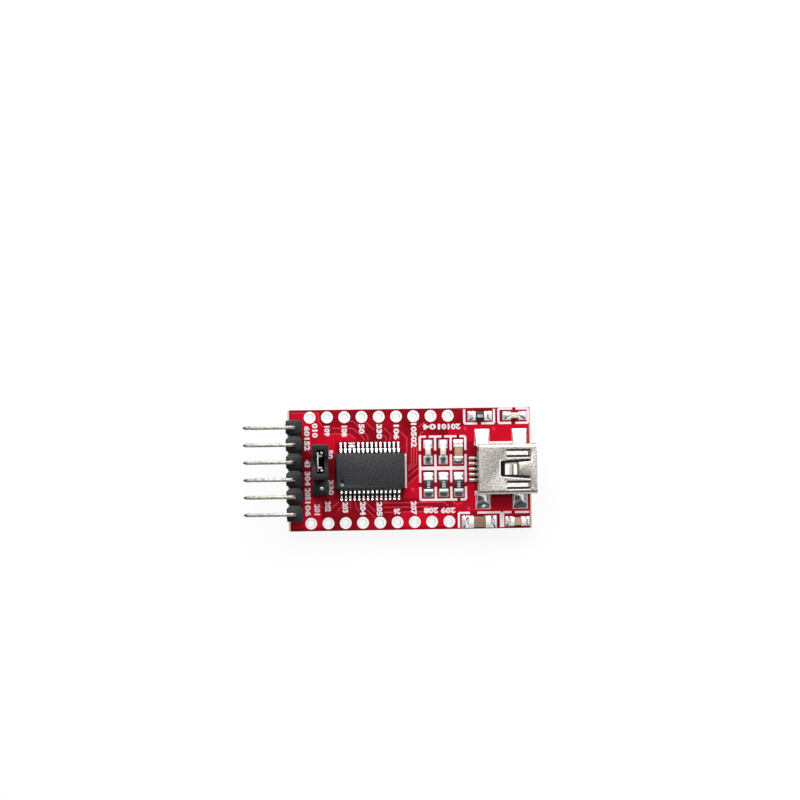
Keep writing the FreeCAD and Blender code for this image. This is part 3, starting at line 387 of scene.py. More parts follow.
# %% Finishing a piece
MERGE = 0.0005
BEVEL = {"offset_type": "OFFSET", "affect": "EDGES", "profile": 0.5, "material": -1}


def soften(bm, width, segments=2, least=32.0):
    """Round every edge that is sharper than a least angle."""
    sharp = [e for e in bm.edges if e.is_manifold and e.calc_face_angle() > math.radians(least)]
    bmesh.ops.bevel(bm, geom=sharp, offset=width, segments=segments, clamp_overlap=True, **BEVEL)


def finish_piece(bm, name, body, material, smooth_deg=40.0, node_names=()):
    """Turn a bmesh in millimetres into a piece that rides on a CAD body."""
    bmesh.ops.recalc_face_normals(bm, faces=bm.faces)
    bmesh.ops.scale(bm, vec=(MM, MM, MM), verts=bm.verts)
    mesh = bpy.data.meshes.new(name)
    bm.to_mesh(mesh)
    bm.free()
    piece = bpy.data.objects.new(name, mesh)
    bpy.context.scene.collection.objects.link(piece)
    mesh.materials.append(material)
    mesh.shade_smooth()
    mesh.set_sharp_from_angle(angle=math.radians(smooth_deg))
    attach(piece, body)
    if node_names:
        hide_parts(*node_names)
    return piece


def refined(name, material, width=0.05, segments=2, body="board", smooth_deg=40.0):
    """A CAD node again, with merged corners and softly bevelled edges."""
    bm = bmesh.new()
    bm.from_mesh(nodes[name].data)
    bmesh.ops.scale(bm, vec=(1 / MM, 1 / MM, 1 / MM), verts=bm.verts)
    bmesh.ops.remove_doubles(bm, verts=bm.verts, dist=MERGE)
    bmesh.ops.dissolve_limit(bm, angle_limit=math.radians(1.0), verts=bm.verts, edges=bm.edges)
    soften(bm, width, segments)
    return finish_piece(bm, f"{name}_rounded", body, material, smooth_deg, (name,))


# %% [markdown]
# ## A few shapes that come back
# A block with corners at two points, a drawn-out end face, a flat bar with
# mitred corners, a turned section, and a heap whose height is a function of
# place. Solder is always one of the last two: it wets the metal and climbs it.

# %% Blocks, bars and drawn-out faces


def block(bm, low, high):
    """A box from its lowest to its highest corner; gives back its corners."""
    low, high = Vector(low), Vector(high)
    place = Matrix.Translation((low + high) / 2) @ Matrix.Diagonal((*(high - low), 1.0))
    return bmesh.ops.create_cube(bm, size=1.0, matrix=place)["verts"]


def round_uprights(bm, verts, width, segments=1):
    """Cut or round the upright edges of a block."""
    edges = {e for v in verts for e in v.link_edges}
    upright = [e for e in edges if (e.verts[0].co - e.verts[1].co).xy.length < 1e-4]
    bmesh.ops.bevel(bm, geom=upright, offset=width, segments=segments, **BEVEL)


def new_parts(made, kind):
    """The faces, edges or corners that an operator has made."""
    return [part for part in made if isinstance(part, kind)]


def draw_out(bm, face, shift, size=1.0, keep=False):
    """Extrude a face, move its new end and scale that about its middle."""
    made = bmesh.ops.extrude_face_region(bm, geom=[face], use_keep_orig=keep)["geom"]
    end = new_parts(made, bmesh.types.BMFace)[0]
    bmesh.ops.translate(bm, vec=shift, verts=end.verts)
    home = Matrix.Translation(-end.calc_center_median())
    bmesh.ops.scale(bm, vec=(size, size, size), verts=end.verts, space=home)
    return end


def slab(bm, corners, low, high):
    """A flat plate with any outline."""
    face = bm.faces.new([bm.verts.new((x, y, low)) for x, y in corners])
    draw_out(bm, face, (0, 0, high - low), keep=True)


def ribbon(bm, points, width, low, high):
    """A flat bar along a bent line, with mitred corners."""
    line = [Vector(point) for point in points]
    runs = [(end - start).normalized() for start, end in zip(line, line[1:])]
    left, right = [], []
    for point, before, after in zip(line, runs[:1] + runs, runs + runs[-1:]):
        across = (before + after).orthogonal().normalized()
        reach = across * width / 2 / across.dot(after.orthogonal())
        left.append(point + reach)
        right.append(point - reach)
    slab(bm, left + right[::-1], low, high)


# %% Turned sections and heaps


def turned(bm, section, middle, steps=20):
    """Spin a closed section of (radius, height) points about an upright line."""
    verts = [bm.verts.new((middle[0] + r, middle[1], z)) for r, z in section]
    edges = [bm.edges.new(pair) for pair in zip(verts, verts[1:] + verts[:1])]
    about = {"cent": (*middle, 0), "axis": (0, 0, 1), "angle": math.tau}
    bmesh.ops.spin(bm, geom=verts + edges, steps=steps, use_merge=True, **about)


def placed(x, y, z, degrees):
    """A matrix that turns about the upright axis, then moves."""
    return Matrix.Translation((x, y, z)) @ Matrix.Rotation(math.radians(degrees), 4, "Z")


def raise_copy(bm, verts):
    """Close a flat sheet by a raised copy of itself; gives back the copy's corners."""
    faces = list({face for vert in verts for face in vert.link_faces})
    made = bmesh.ops.extrude_face_region(bm, geom=faces, use_keep_orig=True)["geom"]
    return new_parts(made, bmesh.types.BMVert)


def dome(share, power):
    """1 in the middle of a run from 0 to 1 and 0 at its ends; a higher power falls later."""
    return max(1 - (2 * share - 1) ** power, 0.0)


def heap(bm, span, height, place, steps=(8, 8), taper=1.0):
    """A soft heap over a rectangle, its height a function of u and v from 0 to 1.

    It starts at the origin and runs along +X, centred on Y; the far end is
    widened by a factor, then everything is moved by a matrix.
    """
    foot = bmesh.ops.create_grid(bm, x_segments=steps[0], y_segments=steps[1], size=0.5)["verts"]
    skin = raise_copy(bm, foot)
    for vert in skin:
        vert.co.z = max(height(vert.co.x + 0.5, vert.co.y + 0.5), 0.005)
    for vert in foot + skin:
        along = vert.co.x + 0.5
        vert.co.x = along * span[0]
        vert.co.y *= span[1] * (1 + (taper - 1) * along)
    bmesh.ops.transform(bm, matrix=place, verts=foot + skin)


# %% [markdown]
# ## Copper under the red ink
# The copper can't be seen itself, but the ink over it lies a little higher and
# looks brighter. The broad areas are low plates of a bright red, read off the
# photo in millimetres. Where one meets a plated hole, its outline makes a
# detour round the hole, so that the bore stays open.

# %% Pours
SUNK = 0.02
LAYER_STEP = 0.0004
POUR_TOP = TOP + 0.02
TRACE_TOP = TOP + 0.035
INK_TOP = TOP + 0.05
HOLES = 9
PITCH = 2.54
FIRST_HOLE, ROW = -14.63, 7.77
RING_OUTER, RING_INNER = 0.88, 0.5


def round_hole(number, start_deg):
    """An outline's detour round an edge hole, entered from one side."""
    middle = Vector((FIRST_HOLE + number * PITCH, math.copysign(ROW, start_deg)))
    radius = (RING_OUTER + RING_INNER) / 2
    turns = [math.radians(start_deg + step) for step in range(2, 359, 17)]
    return [middle + radius * Vector((math.cos(turn), math.sin(turn))) for turn in turns]


LEFT_POUR = [
    (-17.5, 8.5), *round_hole(0, 90), (-13.35, 8.44), (-13.3, 7.28), (-12.65, 6.35), (-12.21, 5.9),
    (-11.52, 5.4), (-8.85, 5.31), (-7.89, 4.57), (-7.89, 4.3), (-10.9, 4.3), (-10.9, 2.4), (-15.0, 2.4),
    (-15.0, 5.0), (-17.5, 5.0),
]
RIGHT_POUR = [(5.7, 4.95), (8.35, 4.95), (8.35, 3.9), (17.55, 3.9), (17.55, 6.45), (8.3, 6.45), (5.7, 5.7)]
LOWER_RIGHT_POUR = [
    (8.45, -2.3), (9.5, -2.3), (9.5, -4.3), (17.55, -4.3), (17.55, -6.35), (6.3, -6.35), (6.3, -4.95),
    (8.45, -4.95),
]
LOWER_ROW_POUR = [(-1.3, -6.4), (6.5, -6.4), (6.5, -8.5)]
for number in (8, 7, 6):
    LOWER_ROW_POUR += round_hole(number, -90)
LOWER_ROW_POUR.append((-1.3, -8.5))
CORNER_POUR = [(-17.5, -4.0), (-13.0, -4.0), (-13.0, -8.5), *round_hole(0, -90), (-17.5, -8.5)]
CHIP_POUR = [(-0.37, -2.4), (1.25, -0.9), (1.25, -4.3), (-1.03, -4.3), (-1.01, -3.7)]
POURS = [LEFT_POUR, RIGHT_POUR, LOWER_RIGHT_POUR, LOWER_ROW_POUR, CORNER_POUR, CHIP_POUR]

bm = bmesh.new()
for corners in POURS:
    slab(bm, corners, TOP - SUNK, POUR_TOP)
finish_piece(bm, "copper_pours", "board", POUR)
print(len(POURS), "pours")

# %% [markdown]
# ## Painted shade on the board between close joints
# Between the chip's leads, and between the socket's contacts, the red mask is
# starved of light. Lamps alone don't darken it enough, so three thin plates of
# a deeper red lie there, below every joint, as painted shade.

# %% Shaded strips between the solder joints
SHADED = [
    ((-10.3, 2.3), (-1.5, 3.8)), ((-10.3, -4.2), (-1.5, -2.7)), ((9.4, -2.1), (10.2, 1.9)),
]
SHADE_TOP = TOP + 0.03

bm = bmesh.new()
for (x0, y0), (x1, y1) in SHADED:
    slab(bm, [(x0, y0), (x1, y0), (x1, y1), (x0, y1)], TOP - SUNK, SHADE_TOP)
finish_piece(bm, "shaded_strips", "board", SHADE)
print(len(SHADED), "shaded strips")

# %% [markdown]
# ## Traces under the mask
# A trace is a raised line that keeps its width round every corner. A curve
# with a depth could make it; a flat bar with mitred corners needs fewer faces
# and stays a plain mesh. The covered holes are small turned domes.

# %% Traces and covered holes
TRACES = [
    [(-11.47, 6.17), (-8.34, 6.13), (-6.72, 4.67), (-6.69, 4.35)],
    [(-11.49, 5.35), (-8.85, 5.31), (-7.89, 4.57)],
    [(-8.82, 7.15), (-8.21, 7.14), (-6.11, 4.9), (-6.12, 4.36)],
    [(-6.37, 7.0), (-5.16, 5.82)],
    [(-3.68, 6.03), (-2.79, 5.17), (-2.8, 4.31)],
    [(-3.83, 5.12), (-3.41, 4.62), (-3.41, 4.3)],
    [(-1.3, 5.51), (-0.4, 4.58), (-0.43, 2.43)],
    [(-17.5, 8.5), (-13.35, 8.44), (-13.3, 7.28), (-12.65, 6.35)],
    [(-14.24, -5.4), (-11.47, -5.44), (-10.47, -4.6)],
    [(-10.73, -6.0), (-9.72, -5.04)],
    [(-8.8, -4.55), (-8.84, -5.8)],
    [(-8.06, -4.55), (-8.03, -5.42), (-7.54, -6.04)],
    [(-6.53, -4.77), (-5.16, -6.14)],
    [(-6.44, -5.88), (-5.12, -7.12)],
    [(-3.95, -4.9), (4.97, -4.93), (5.6, -5.49)],
    [(-3.97, -5.55), (3.3, -5.55)],
    [(-3.99, -6.28), (3.3, -6.28)],
    [(6.22, -4.86), (6.91, -5.3), (7.63, -4.95)],
    [(0.28, 3.27), (0.2, 0.8), (-0.24, 0.35)],
    [(0.65, 3.27), (0.57, 0.8), (-0.25, 0.05)],
    [(1.07, 3.27), (0.97, 0.7), (-0.31, -0.26)],
    [(1.32, 0.27), (-0.3, -1.12)],
    [(1.3, -0.77), (-0.32, -2.22)],
    [(2.26, 6.95), (1.28, 6.1)],
    [(2.06, 5.48), (1.5, 5.1)],
]
TRACE_WIDTH = 0.16
COVERED_HOLES = [(12.45, 5.75), (8.6, -5.9), (0.41, -3.0), (8.24, 5.8)]
BUMP = [(0.0, TOP), (0.3, TOP), (0.24, TRACE_TOP), (0.12, TRACE_TOP + 0.01), (0.0, TOP + 0.01)]

bm = bmesh.new()
for number, points in enumerate(TRACES):
    ribbon(bm, points, TRACE_WIDTH, TOP - SUNK, TRACE_TOP + LAYER_STEP * number)
for middle in COVERED_HOLES:
    turned(bm, BUMP, middle, 12)
finish_piece(bm, "copper_lines", "board", TRACE_PAINTED_HIGHLIGHT)
print(len(TRACES), "traces and", len(COVERED_HOLES), "covered holes")

# %% [markdown]
# ## The print
# White ink frames every chip part and the socket, with small gaps in the frames.
# Each line is a flat bar; levels lie a hair above uprights, so that no two
# faces share a plane where they cross and flicker there.

# %% Frames
FRAME_WIDTH = 0.33
GRID_TOP, GRID_BOTTOM = 4.74, -4.55
GRID_LEFT, GRID_RIGHT = 1.5, 8.2
UPPER_FRAME, LOWER_FRAME = 6.6, -6.54
UPPER_EDGE, LOWER_EDGE = 8.7, -8.7
CROSSING_STEP = 0.005


def upright(x, *spans):
    """Printed lines at one x."""
    return [((x, first), (x, last)) for first, last in spans]


def level(y, *spans):
    """Printed lines at one y."""
    return [((first, y), (last, y)) for first, last in spans]


UPRIGHTS = []
for x in (GRID_LEFT, 3.76, 6.05, GRID_RIGHT):
    UPRIGHTS += upright(x, (GRID_TOP, 2.7), (2.1, -2.0), (-2.66, GRID_BOTTOM))
for x in (8.12, 12.5, 13.16, 17.5):
    UPRIGHTS += upright(x, (UPPER_EDGE, UPPER_FRAME))
for x in (7.1, 13.3, 13.62):
    UPRIGHTS += upright(x, (LOWER_FRAME, LOWER_EDGE))
UPRIGHTS += upright(9.68, (3.85, 3.35), (-3.35, -4.05)) + upright(-0.64, (2.3, -2.75))

LEVELS = level(GRID_TOP, (GRID_LEFT, 2.42), (2.84, 4.7), (5.12, 6.92), (7.36, GRID_RIGHT))
LEVELS += level(GRID_BOTTOM, (GRID_LEFT, 6.9), (7.4, GRID_RIGHT))
LEVELS += level(0.18, (GRID_LEFT, GRID_RIGHT)) + level(-0.02, (GRID_LEFT, GRID_RIGHT))
LEVELS += level(UPPER_FRAME, (8.12, 10.0), (10.6, 12.5), (13.16, 15.03), (15.63, 17.5))
LEVELS += level(UPPER_EDGE, (13.16, 15.2), (15.7, 17.5))
LEVELS += level(LOWER_FRAME, (7.1, 8.75), (9.85, 13.3), (13.62, 14.85), (15.4, 17.5))
LEVELS += level(3.85, (9.68, 10.0)) + level(3.74, (11.8, 15.1))

bm = bmesh.new()
for ends in UPRIGHTS:
    ribbon(bm, ends, FRAME_WIDTH, TOP, INK_TOP)
for number, ends in enumerate(LEVELS):
    ribbon(bm, ends, FRAME_WIDTH, TOP, INK_TOP + CROSSING_STEP + LAYER_STEP * number)
finish_piece(bm, "printed_frames", "board", INK)
print(len(UPRIGHTS) + len(LEVELS), "printed lines")

# %% [markdown]
# ## Printed digits
# The words and codes of the real print aren't copied: plain numbers stand in
# their places, in the same size and direction. A text curve gives their
# outlines. It is turned into a mesh, stretched to the label's length and
# height, laid in place and given the thickness of the ink.

# %% Digits as meshes


def digit_mesh(digits):
    """A row of digits as a flat mesh, turned from a text curve."""
    curve = bpy.data.curves.new("digits", "FONT")
    curve.body = digits
    curve.offset = 0.05
    curve.resolution_u = 2
    holder = bpy.data.objects.new("digits", curve)
    bpy.context.scene.collection.objects.link(holder)
    graph = bpy.context.evaluated_depsgraph_get()
    mesh = bpy.data.meshes.new_from_object(holder.evaluated_get(graph))
    bpy.data.objects.remove(holder)
    bpy.data.curves.remove(curve)
    return mesh


def add_number(bm, digits, size, place, thickness):
    """Stretch a number to a length and a height, place it, and thicken it."""
    mesh = digit_mesh(digits)
    before = set(bm.verts)
    bm.from_mesh(mesh)
    bpy.data.meshes.remove(mesh)
    fresh = [v for v in bm.verts if v not in before]
    low = Vector([min(v.co[axis] for v in fresh) for axis in (0, 1)] + [0])
    high = Vector([max(v.co[axis] for v in fresh) for axis in (0, 1)] + [0])
    bmesh.ops.translate(bm, vec=-(low + high) / 2, verts=fresh)
    stretch = (size[0] / (high.x - low.x), size[1] / (high.y - low.y), 1)
    bmesh.ops.scale(bm, vec=stretch, verts=fresh)
    bmesh.ops.transform(bm, matrix=place, verts=fresh)
    bmesh.ops.translate(bm, vec=(0, 0, thickness), verts=raise_copy(bm, fresh))


# %% Plain numbers in the labels' places
DOWNWARD = -90
UPSIDE_DOWN = 180
NUMBER_HEIGHT = 0.86
UPPER_ROW = [
    ("010", (-13.9, 5.87), 2.1), ("109", (-12.12, 5.77), 1.5), ("108", (-9.58, 5.7), 1.65),
    ("50", (-7.03, 6.02), 1.45), ("330", (-4.44, 5.61), 2.2), ("106", (-1.92, 5.47), 2.2),
    ("10502", (0.64, 4.99), 3.6),
]
HEADER_COLUMN = [
    ("601", (-15.07, 5.55), 2.0), ("52", (-15.07, 3.64), 1.45), ("43", (-15.07, 1.02), 1.1),
    ("304", (-15.07, -1.17), 2.1), ("205", (-15.07, -3.45), 1.8), ("106", (-15.07, -5.6), 2.2),
]
SELECTOR = [("50", (-11.7, 2.34), 1.3), ("330", (-11.65, -2.52), 2.2)]
LOWER_ROW = [
    ("201", (-13.7, -5.74), 1.6), ("202", (-12.13, -5.3), 1.5), ("203", (-9.58, -5.47), 1.6),
    ("204", (-7.0, -5.65), 2.0), ("205", (-4.56, -5.79), 2.1), ("207", (0.48, -5.7), 2.0),
]
TURNED_OVER = [
    ("104", (3.26, 6.19), 2.6), ("2010", (6.12, 6.19), 2.8), ("26", (-2.0, -6.2), 0.95),
    ("208", (3.0, -6.1), 2.1), ("209", (5.52, -6.13), 2.15),
]
READ_DOWN = UPPER_ROW + HEADER_COLUMN + SELECTOR + LOWER_ROW

bm = bmesh.new()
for numbers, degrees in ((READ_DOWN, DOWNWARD), (TURNED_OVER, UPSIDE_DOWN)):
    for digits, middle, length in numbers:
        add_number(bm, digits, (length, NUMBER_HEIGHT), placed(*middle, TOP, degrees), INK_TOP - TOP)
finish_piece(bm, "printed_numbers", "board", INK, 20.0)
print("plain numbers in place of the labels")

# %% [markdown]
# ## Plated holes
# Each hole is a tinned sleeve with a flat ring on both faces. A turned section
# gives the round rims that the flat-sided CAD ring doesn't have.

# %% Edge rings
RING_EDGE = 0.03

ring_low, ring_high = node_box("edge_hole_rings")
RING = [
    (RING_INNER, ring_low.z + RING_EDGE), (RING_INNER + RING_EDGE, ring_low.z),
    (RING_OUTER - RING_EDGE, ring_low.z), (RING_OUTER, ring_low.z + RING_EDGE),
    (RING_OUTER, ring_high.z - RING_EDGE), (RING_OUTER - RING_EDGE, ring_high.z),
    (RING_INNER + 2 * RING_EDGE, ring_high.z), (RING_INNER, ring_high.z - 2 * RING_EDGE),
]

bm = bmesh.new()
for number in range(HOLES):
    for row in (-ROW, ROW):
        turned(bm, RING, (FIRST_HOLE + number * PITCH, row), 24)
finish_piece(bm, "plated_holes", "board", TIN, node_names=("edge_hole_rings",))
print(2 * HOLES, "plated holes")

# %% [markdown]
# ## Pins and their plastic strips
# A bent header pin is one square wire: narrowed tail, straight run, quarter
# bend, long free leg and a narrowed tip. It is drawn out face by face, with a
# spin for the bend. The strips are cells with cut corners, and between two
# cells lies a slightly lower neck where the strip is meant to be snapped.

# %% Pins
TIP_LENGTH = 0.45
TIP_SIZE = 0.42
INNER_BEND = 0.42


def square_end(bm, middle, width):
    """The narrowed lower end of a square pin, grown to full width."""
    place = Matrix.Translation(middle)
    tip = bmesh.ops.create_grid(bm, x_segments=1, y_segments=1, size=TIP_SIZE * width / 2, matrix=place)
    return draw_out(bm, tip["verts"][0].link_faces[0], (0, 0, TIP_LENGTH), 1 / TIP_SIZE, keep=True)


def bent_pin(number):
    """One header pin, upright through the board and bent off its end."""
    name = f"header_pin_{number}"
    low, high = node_box(name)
    width = high.y - low.y
    line, row = high.x - width / 2, (low.y + high.y) / 2
    centre = Vector((line - width / 2 - INNER_BEND, row, high.z - width - INNER_BEND))
    bm = bmesh.new()
    face = square_end(bm, (line, row, low.z), width)
    face = draw_out(bm, face, (0, 0, centre.z - low.z - TIP_LENGTH))
    quarter = {"cent": centre, "axis": (0, 1, 0), "angle": -math.pi / 2, "steps": 8}
    around = bmesh.ops.spin(bm, geom=[face, *face.edges, *face.verts], **quarter)
    face = new_parts(around["geom_last"], bmesh.types.BMFace)[0]
    face = draw_out(bm, face, (low.x + TIP_LENGTH - centre.x, 0, 0))
    draw_out(bm, face, (-TIP_LENGTH, 0, 0), TIP_SIZE)
    bmesh.ops.remove_doubles(bm, verts=bm.verts, dist=MERGE)
    soften(bm, 0.07, 2, 40.0)
    finish_piece(bm, f"{name}_wire", "board", PIN, node_names=(name,))


def straight_pin(number):
    """One selector pin, narrowed at both ends."""
    name = f"selector_pin_{number}"
    low, high = node_box(name)
    width = high.y - low.y
    bm = bmesh.new()
    face = square_end(bm, ((low.x + high.x) / 2, (low.y + high.y) / 2, low.z), width)
    face = draw_out(bm, face, (0, 0, high.z - low.z - 2 * TIP_LENGTH))
    draw_out(bm, face, (0, 0, TIP_LENGTH), 0.6)
    soften(bm, 0.06, 2, 40.0)
    finish_piece(bm, f"{name}_wire", "board", PIN, node_names=(name,))


for number in range(1, 7):
    bent_pin(number)
for number in range(1, 4):
    straight_pin(number)
print("six bent pins and three straight ones")

# %% Plastic strips
NECK_DROP = 0.13
NECK_HALF = 0.34
CORNER_CUT = 0.48


def plastic_strip(name, count):
    """Cells with cut corners under raised square pads, one for each pin."""
    low, high = node_box(name)
    bm = bmesh.new()
    for number in range(count):
        middle = (number - (count - 1) / 2) * PITCH
        start, end = max(middle - PITCH / 2, low.y), min(middle + PITCH / 2, high.y)
        foot = block(bm, (low.x, start, TOP), (high.x, end, high.z - NECK_DROP))
        round_uprights(bm, foot, CORNER_CUT)
        first = start + (0.03 if number == 0 else NECK_HALF)
        last = end - (0.03 if number == count - 1 else NECK_HALF)
        pad = block(bm, (low.x + 0.02, first, high.z - 0.6), (high.x - 0.02, last, high.z))
        round_uprights(bm, pad, 0.16, 2)
    soften(bm, 0.09, 2, 50.0)
    finish_piece(bm, f"{name}_cells", "board", NYLON, node_names=(name,))


plastic_strip("header_strip", 6)
plastic_strip("selector_strip", 3)
print("strips of six and three cells")

# %% [markdown]
# ## Joints under the board
# Molten solder climbs a pin's tail and spreads over the ring round its hole,
# which leaves a hollow cone. One section, turned round each tail, gives that
# curve; the faceted collar of the CAD model steps aside for it.

# %% Solder cones under the board
CONE = [(0.0, 0.02), (0.77, 0.0), (0.6, -0.1), (0.5, -0.3), (0.44, -0.62), (0.4, -0.86), (0.0, -0.89)]


def solder_cones(name, count):
    """Solder that climbs each pin tail in a hollow curve."""
    low, high = node_box(name)
    bm = bmesh.new()
    for number in range(count):
        turned(bm, CONE, ((low.x + high.x) / 2, (number - (count - 1) / 2) * PITCH), 18)
    finish_piece(bm, f"{name}_cones", "board", SOLDER, node_names=(name,))


solder_cones("header_solder", 6)
solder_cones("selector_solder", 3)
print("nine solder cones")

# %% [markdown]
# ## The shunt and the chip
# Both are moulded, so their CAD forms only need rounded edges. The chip's leads
# are stamped sheet whose tin flows into a small heap in front of every toe, and
# one heap joins the third and fourth leads.

# %% Moulded bodies
refined("shunt_housing", NYLON, 0.13, 3, body="shunt")
refined("shunt_clip", PIN, 0.05, body="shunt")
refined("chip_body", EPOXY, 0.07)

chip_low, chip_high = node_box("chip_body")
DISH_RADIUS, DISH_DEPTH, DISH_INSET = 0.4, 0.075, 0.95
DISH = [(r, chip_high.z + 0.004 - DISH_DEPTH * (1 - (r / DISH_RADIUS) ** 2)) for r in (0, 0.1, 0.2, 0.3, 0.4)]
DISH += [(DISH_RADIUS, chip_high.z - DISH_DEPTH), (0.0, chip_high.z - DISH_DEPTH - 0.01)]
bm = bmesh.new()
turned(bm, DISH, (chip_low.x + DISH_INSET, chip_low.y + DISH_INSET), 24)
finish_piece(bm, "first_lead_mark", "board", DARK_DISH)
print("shunt and chip rounded")

# %% [markdown]
# ## Gull-wing leads
# A lead leaves the body level, bends down and bends out again to its foot. It
# could be a bevelled profile; here one end face is pushed and spun through a
# few steps, so every bend is round.

# %% Leads
LEADS = 14
LEAD_PITCH = 0.65
LEAD_WIDTH, LEAD_SHEET = 0.4, 0.16
SHOULDER, FOOT = 0.6, 0.5
LEAD_BEND, LEAD_DROP = 0.08, 0.85
LEAD_SLOPE = 80
LEAD_IN_BODY = 0.2

pads_low, pads_high = node_box("chip_pads")
ROWS = (pads_low + pads_high) / 2
TOE = (pads_high.y - pads_low.y) / 2
LEAD_LINES = [ROWS.x + (number - (LEADS - 1) / 2) * LEAD_PITCH for number in range(LEADS)]
SIDES = ((1, 90), (-1, -90))


def bend(bm, face, centre, degrees):
    """Carry a face round a line across the lead; gives back the new end."""
    arc = {"cent": centre, "axis": (0, 1, 0), "angle": math.radians(degrees), "steps": 4}
    made = bmesh.ops.spin(bm, geom=[face, *face.edges, *face.verts], **arc)
    return new_parts(made["geom_last"], bmesh.types.BMFace)[0]


def lead(bm, place, drop):
    """One stamped lead along +X: flat shoulder, steep step down, flat foot."""
    start = block(bm, (-LEAD_IN_BODY, -LEAD_WIDTH / 2, -LEAD_SHEET), (SHOULDER, LEAD_WIDTH / 2, 0))
    old = set(bm.verts) - set(start)
    face = max({f for v in start for f in v.link_faces}, key=lambda f: f.calc_center_median().x)
    face = bend(bm, face, (SHOULDER, 0, -LEAD_SHEET - LEAD_BEND), LEAD_SLOPE)
    run = drop - 2 * LEAD_BEND - LEAD_SHEET
    slope = math.radians(LEAD_SLOPE)
    face = draw_out(bm, face, Vector((math.cos(slope), 0, -math.sin(slope))) * run)
    middle = face.calc_center_median()
    outward = Vector((math.sin(slope), 0, math.cos(slope)))
    face = bend(bm, face, middle + outward * (LEAD_SHEET / 2 + LEAD_BEND), -LEAD_SLOPE)
    draw_out(bm, face, (FOOT, 0, 0))
    bmesh.ops.transform(bm, matrix=place, verts=list(set(bm.verts) - old))


bm = bmesh.new()
for x in LEAD_LINES:
    for side, degrees in SIDES:
        start = chip_high.y if side > 0 else chip_low.y
        lead(bm, placed(x, start, PAD_TOP + LEAD_DROP, degrees), LEAD_DROP)
bmesh.ops.remove_doubles(bm, verts=bm.verts, dist=MERGE)
soften(bm, 0.05, 2, 40.0)
finish_piece(bm, "bent_leads", "board", SOLDER_WITH_PAINTED_SHADE, node_names=("chip_leads",))
print(2 * LEADS, "bent leads")

# %% [markdown]
# ## Solder on the leads
# Tin sits on a lead in three drops: on the shoulder, over the foot and in front
# of the toe. A heap's top leans a little towards the bright side of the light,
# or half of these small mirrors would show only the dark side.

# %% Drops and the bridge
DROPS = [(0.88, (0.5, 0.44), 0.2, 0.12, (8, 6)), (0.33, (0.32, 0.46), 0.1, 0.1, (6, 6))]
SHOULDER_SPAN = (0.66, 0.42)
BRIDGE_INSIDE, BRIDGE_SPAN = 1.1, (1.05, 1.05)


def leaning(side, base, rise):
    """A drop of one base height whose top leans towards +Y on either side of the chip."""

    def height(u, v):
        lean = 1 - u if side > 0 else u
        return (base + rise * lean) * (dome(v, 4) * dome(u, 8)) ** 0.5

    return height


def bridge(u, v):
    """A broad lump with a groove across it."""
    groove = 1 - 0.3 * math.exp(-(((u - 0.66) * 9) ** 2))
    return 0.36 * dome(u, 6) * dome(v, 4) * groove


bm = bmesh.new()
for x in LEAD_LINES:
    for side, degrees in SIDES:
        for inside, span, base, rise, steps in DROPS:
            place = placed(x, ROWS.y + side * (TOE - inside), PAD_TOP, degrees)
            heap(bm, span, leaning(side, base, rise), place, steps)
        start = chip_high.y if side > 0 else chip_low.y
        shoulder = placed(x, start, PAD_TOP + LEAD_DROP - 0.01, degrees)
        heap(bm, SHOULDER_SPAN, leaning(side, 0.02, 0.16), shoulder, (10, 6))
bridge_place = placed(LEAD_LINES[2] + LEAD_PITCH / 2, ROWS.y + TOE - BRIDGE_INSIDE, PAD_TOP, 90)
heap(bm, BRIDGE_SPAN, bridge, bridge_place, (12, 12))
finish_piece(bm, "chip_joints", "board", SOLDER_WITH_PAINTED_SHADE, 60.0)
print(2 * LEADS, "joints and one bridge")

# %% [markdown]
# ## Chip parts
# Resistors, capacitors and lamps keep their CAD bodies with rounded edges. The
# flat CAD wedges of solder give way to hollow slopes that climb the metal ends.

# %% Rounded bodies
for number in range(1, 5):
    refined(f"resistor_{number}_body", GLAZE, 0.05)
    refined(f"resistor_{number}_ends", TIN, 0.08)
for number, ceramic in ((1, TAN), (2, BROWN), (3, TAN)):
    refined(f"capacitor_{number}_body", ceramic, 0.05)
    refined(f"capacitor_{number}_ends", TIN, 0.1)
for number in range(1, 4):
    refined(f"lamp_{number}_base", CARRIER, 0.03)
    refined(f"lamp_{number}_ends", TIN, 0.01)
    refined(f"lamp_{number}_lens", RESIN, 0.12, 3)
print("bodies of ten chip parts rounded")

# %% Solder slopes
PART_REACH = {f"resistor_{n}": 0.78 for n in range(1, 5)}
PART_REACH.update({"capacitor_1": 0.78, "capacitor_2": 0.98, "capacitor_3": 0.78})
PART_REACH.update({f"lamp_{n}": 1.0 for n in range(1, 4)})


def hollow(climb, side_power):
    """A slope that is steep at the part and runs out flat over the pad."""
    return lambda u, v: dome(v, side_power) * (0.04 + climb * (1 - u) ** 2.2) * (1 - u**12)


def part_solder():
    """A hollow slope at both ends of every chip part."""
    bm = bmesh.new()
    for name, reach in PART_REACH.items():
        low, high = node_box(f"{name}_ends")
        size, middle = high - low, (low + high) / 2
        lamp = name.startswith("lamp")
        width = min(size.x, size.y) + (0.0 if lamp else 0.1)
        shape = hollow(0.3, 2) if lamp else hollow(0.62 * size.z, 4)
        along_y = size.y > size.x
        away = max(size.x, size.y) / 2 - 0.04
        for side in (1, -1):
            turn = 90 * side if along_y else 90 - 90 * side
            shift = Vector((0, side * away)) if along_y else Vector((side * away, 0))
            place = placed(*(middle.xy + shift), PAD_TOP, turn)
            heap(bm, (reach, width), shape, place, (8, 8), 1.5 if lamp else 1.04)
    finish_piece(bm, "slopes_of_solder", "board", SOLDER, 60.0, node_names=("part_solder",))


part_solder()
print(2 * len(PART_REACH), "solder slopes")

# %% [markdown]
# ## Numbers on the resistors
# Resistors of this size carry three digits in pale ink along their body. They
# are made as the board's numbers are, a hundredth of a millimetre thick.

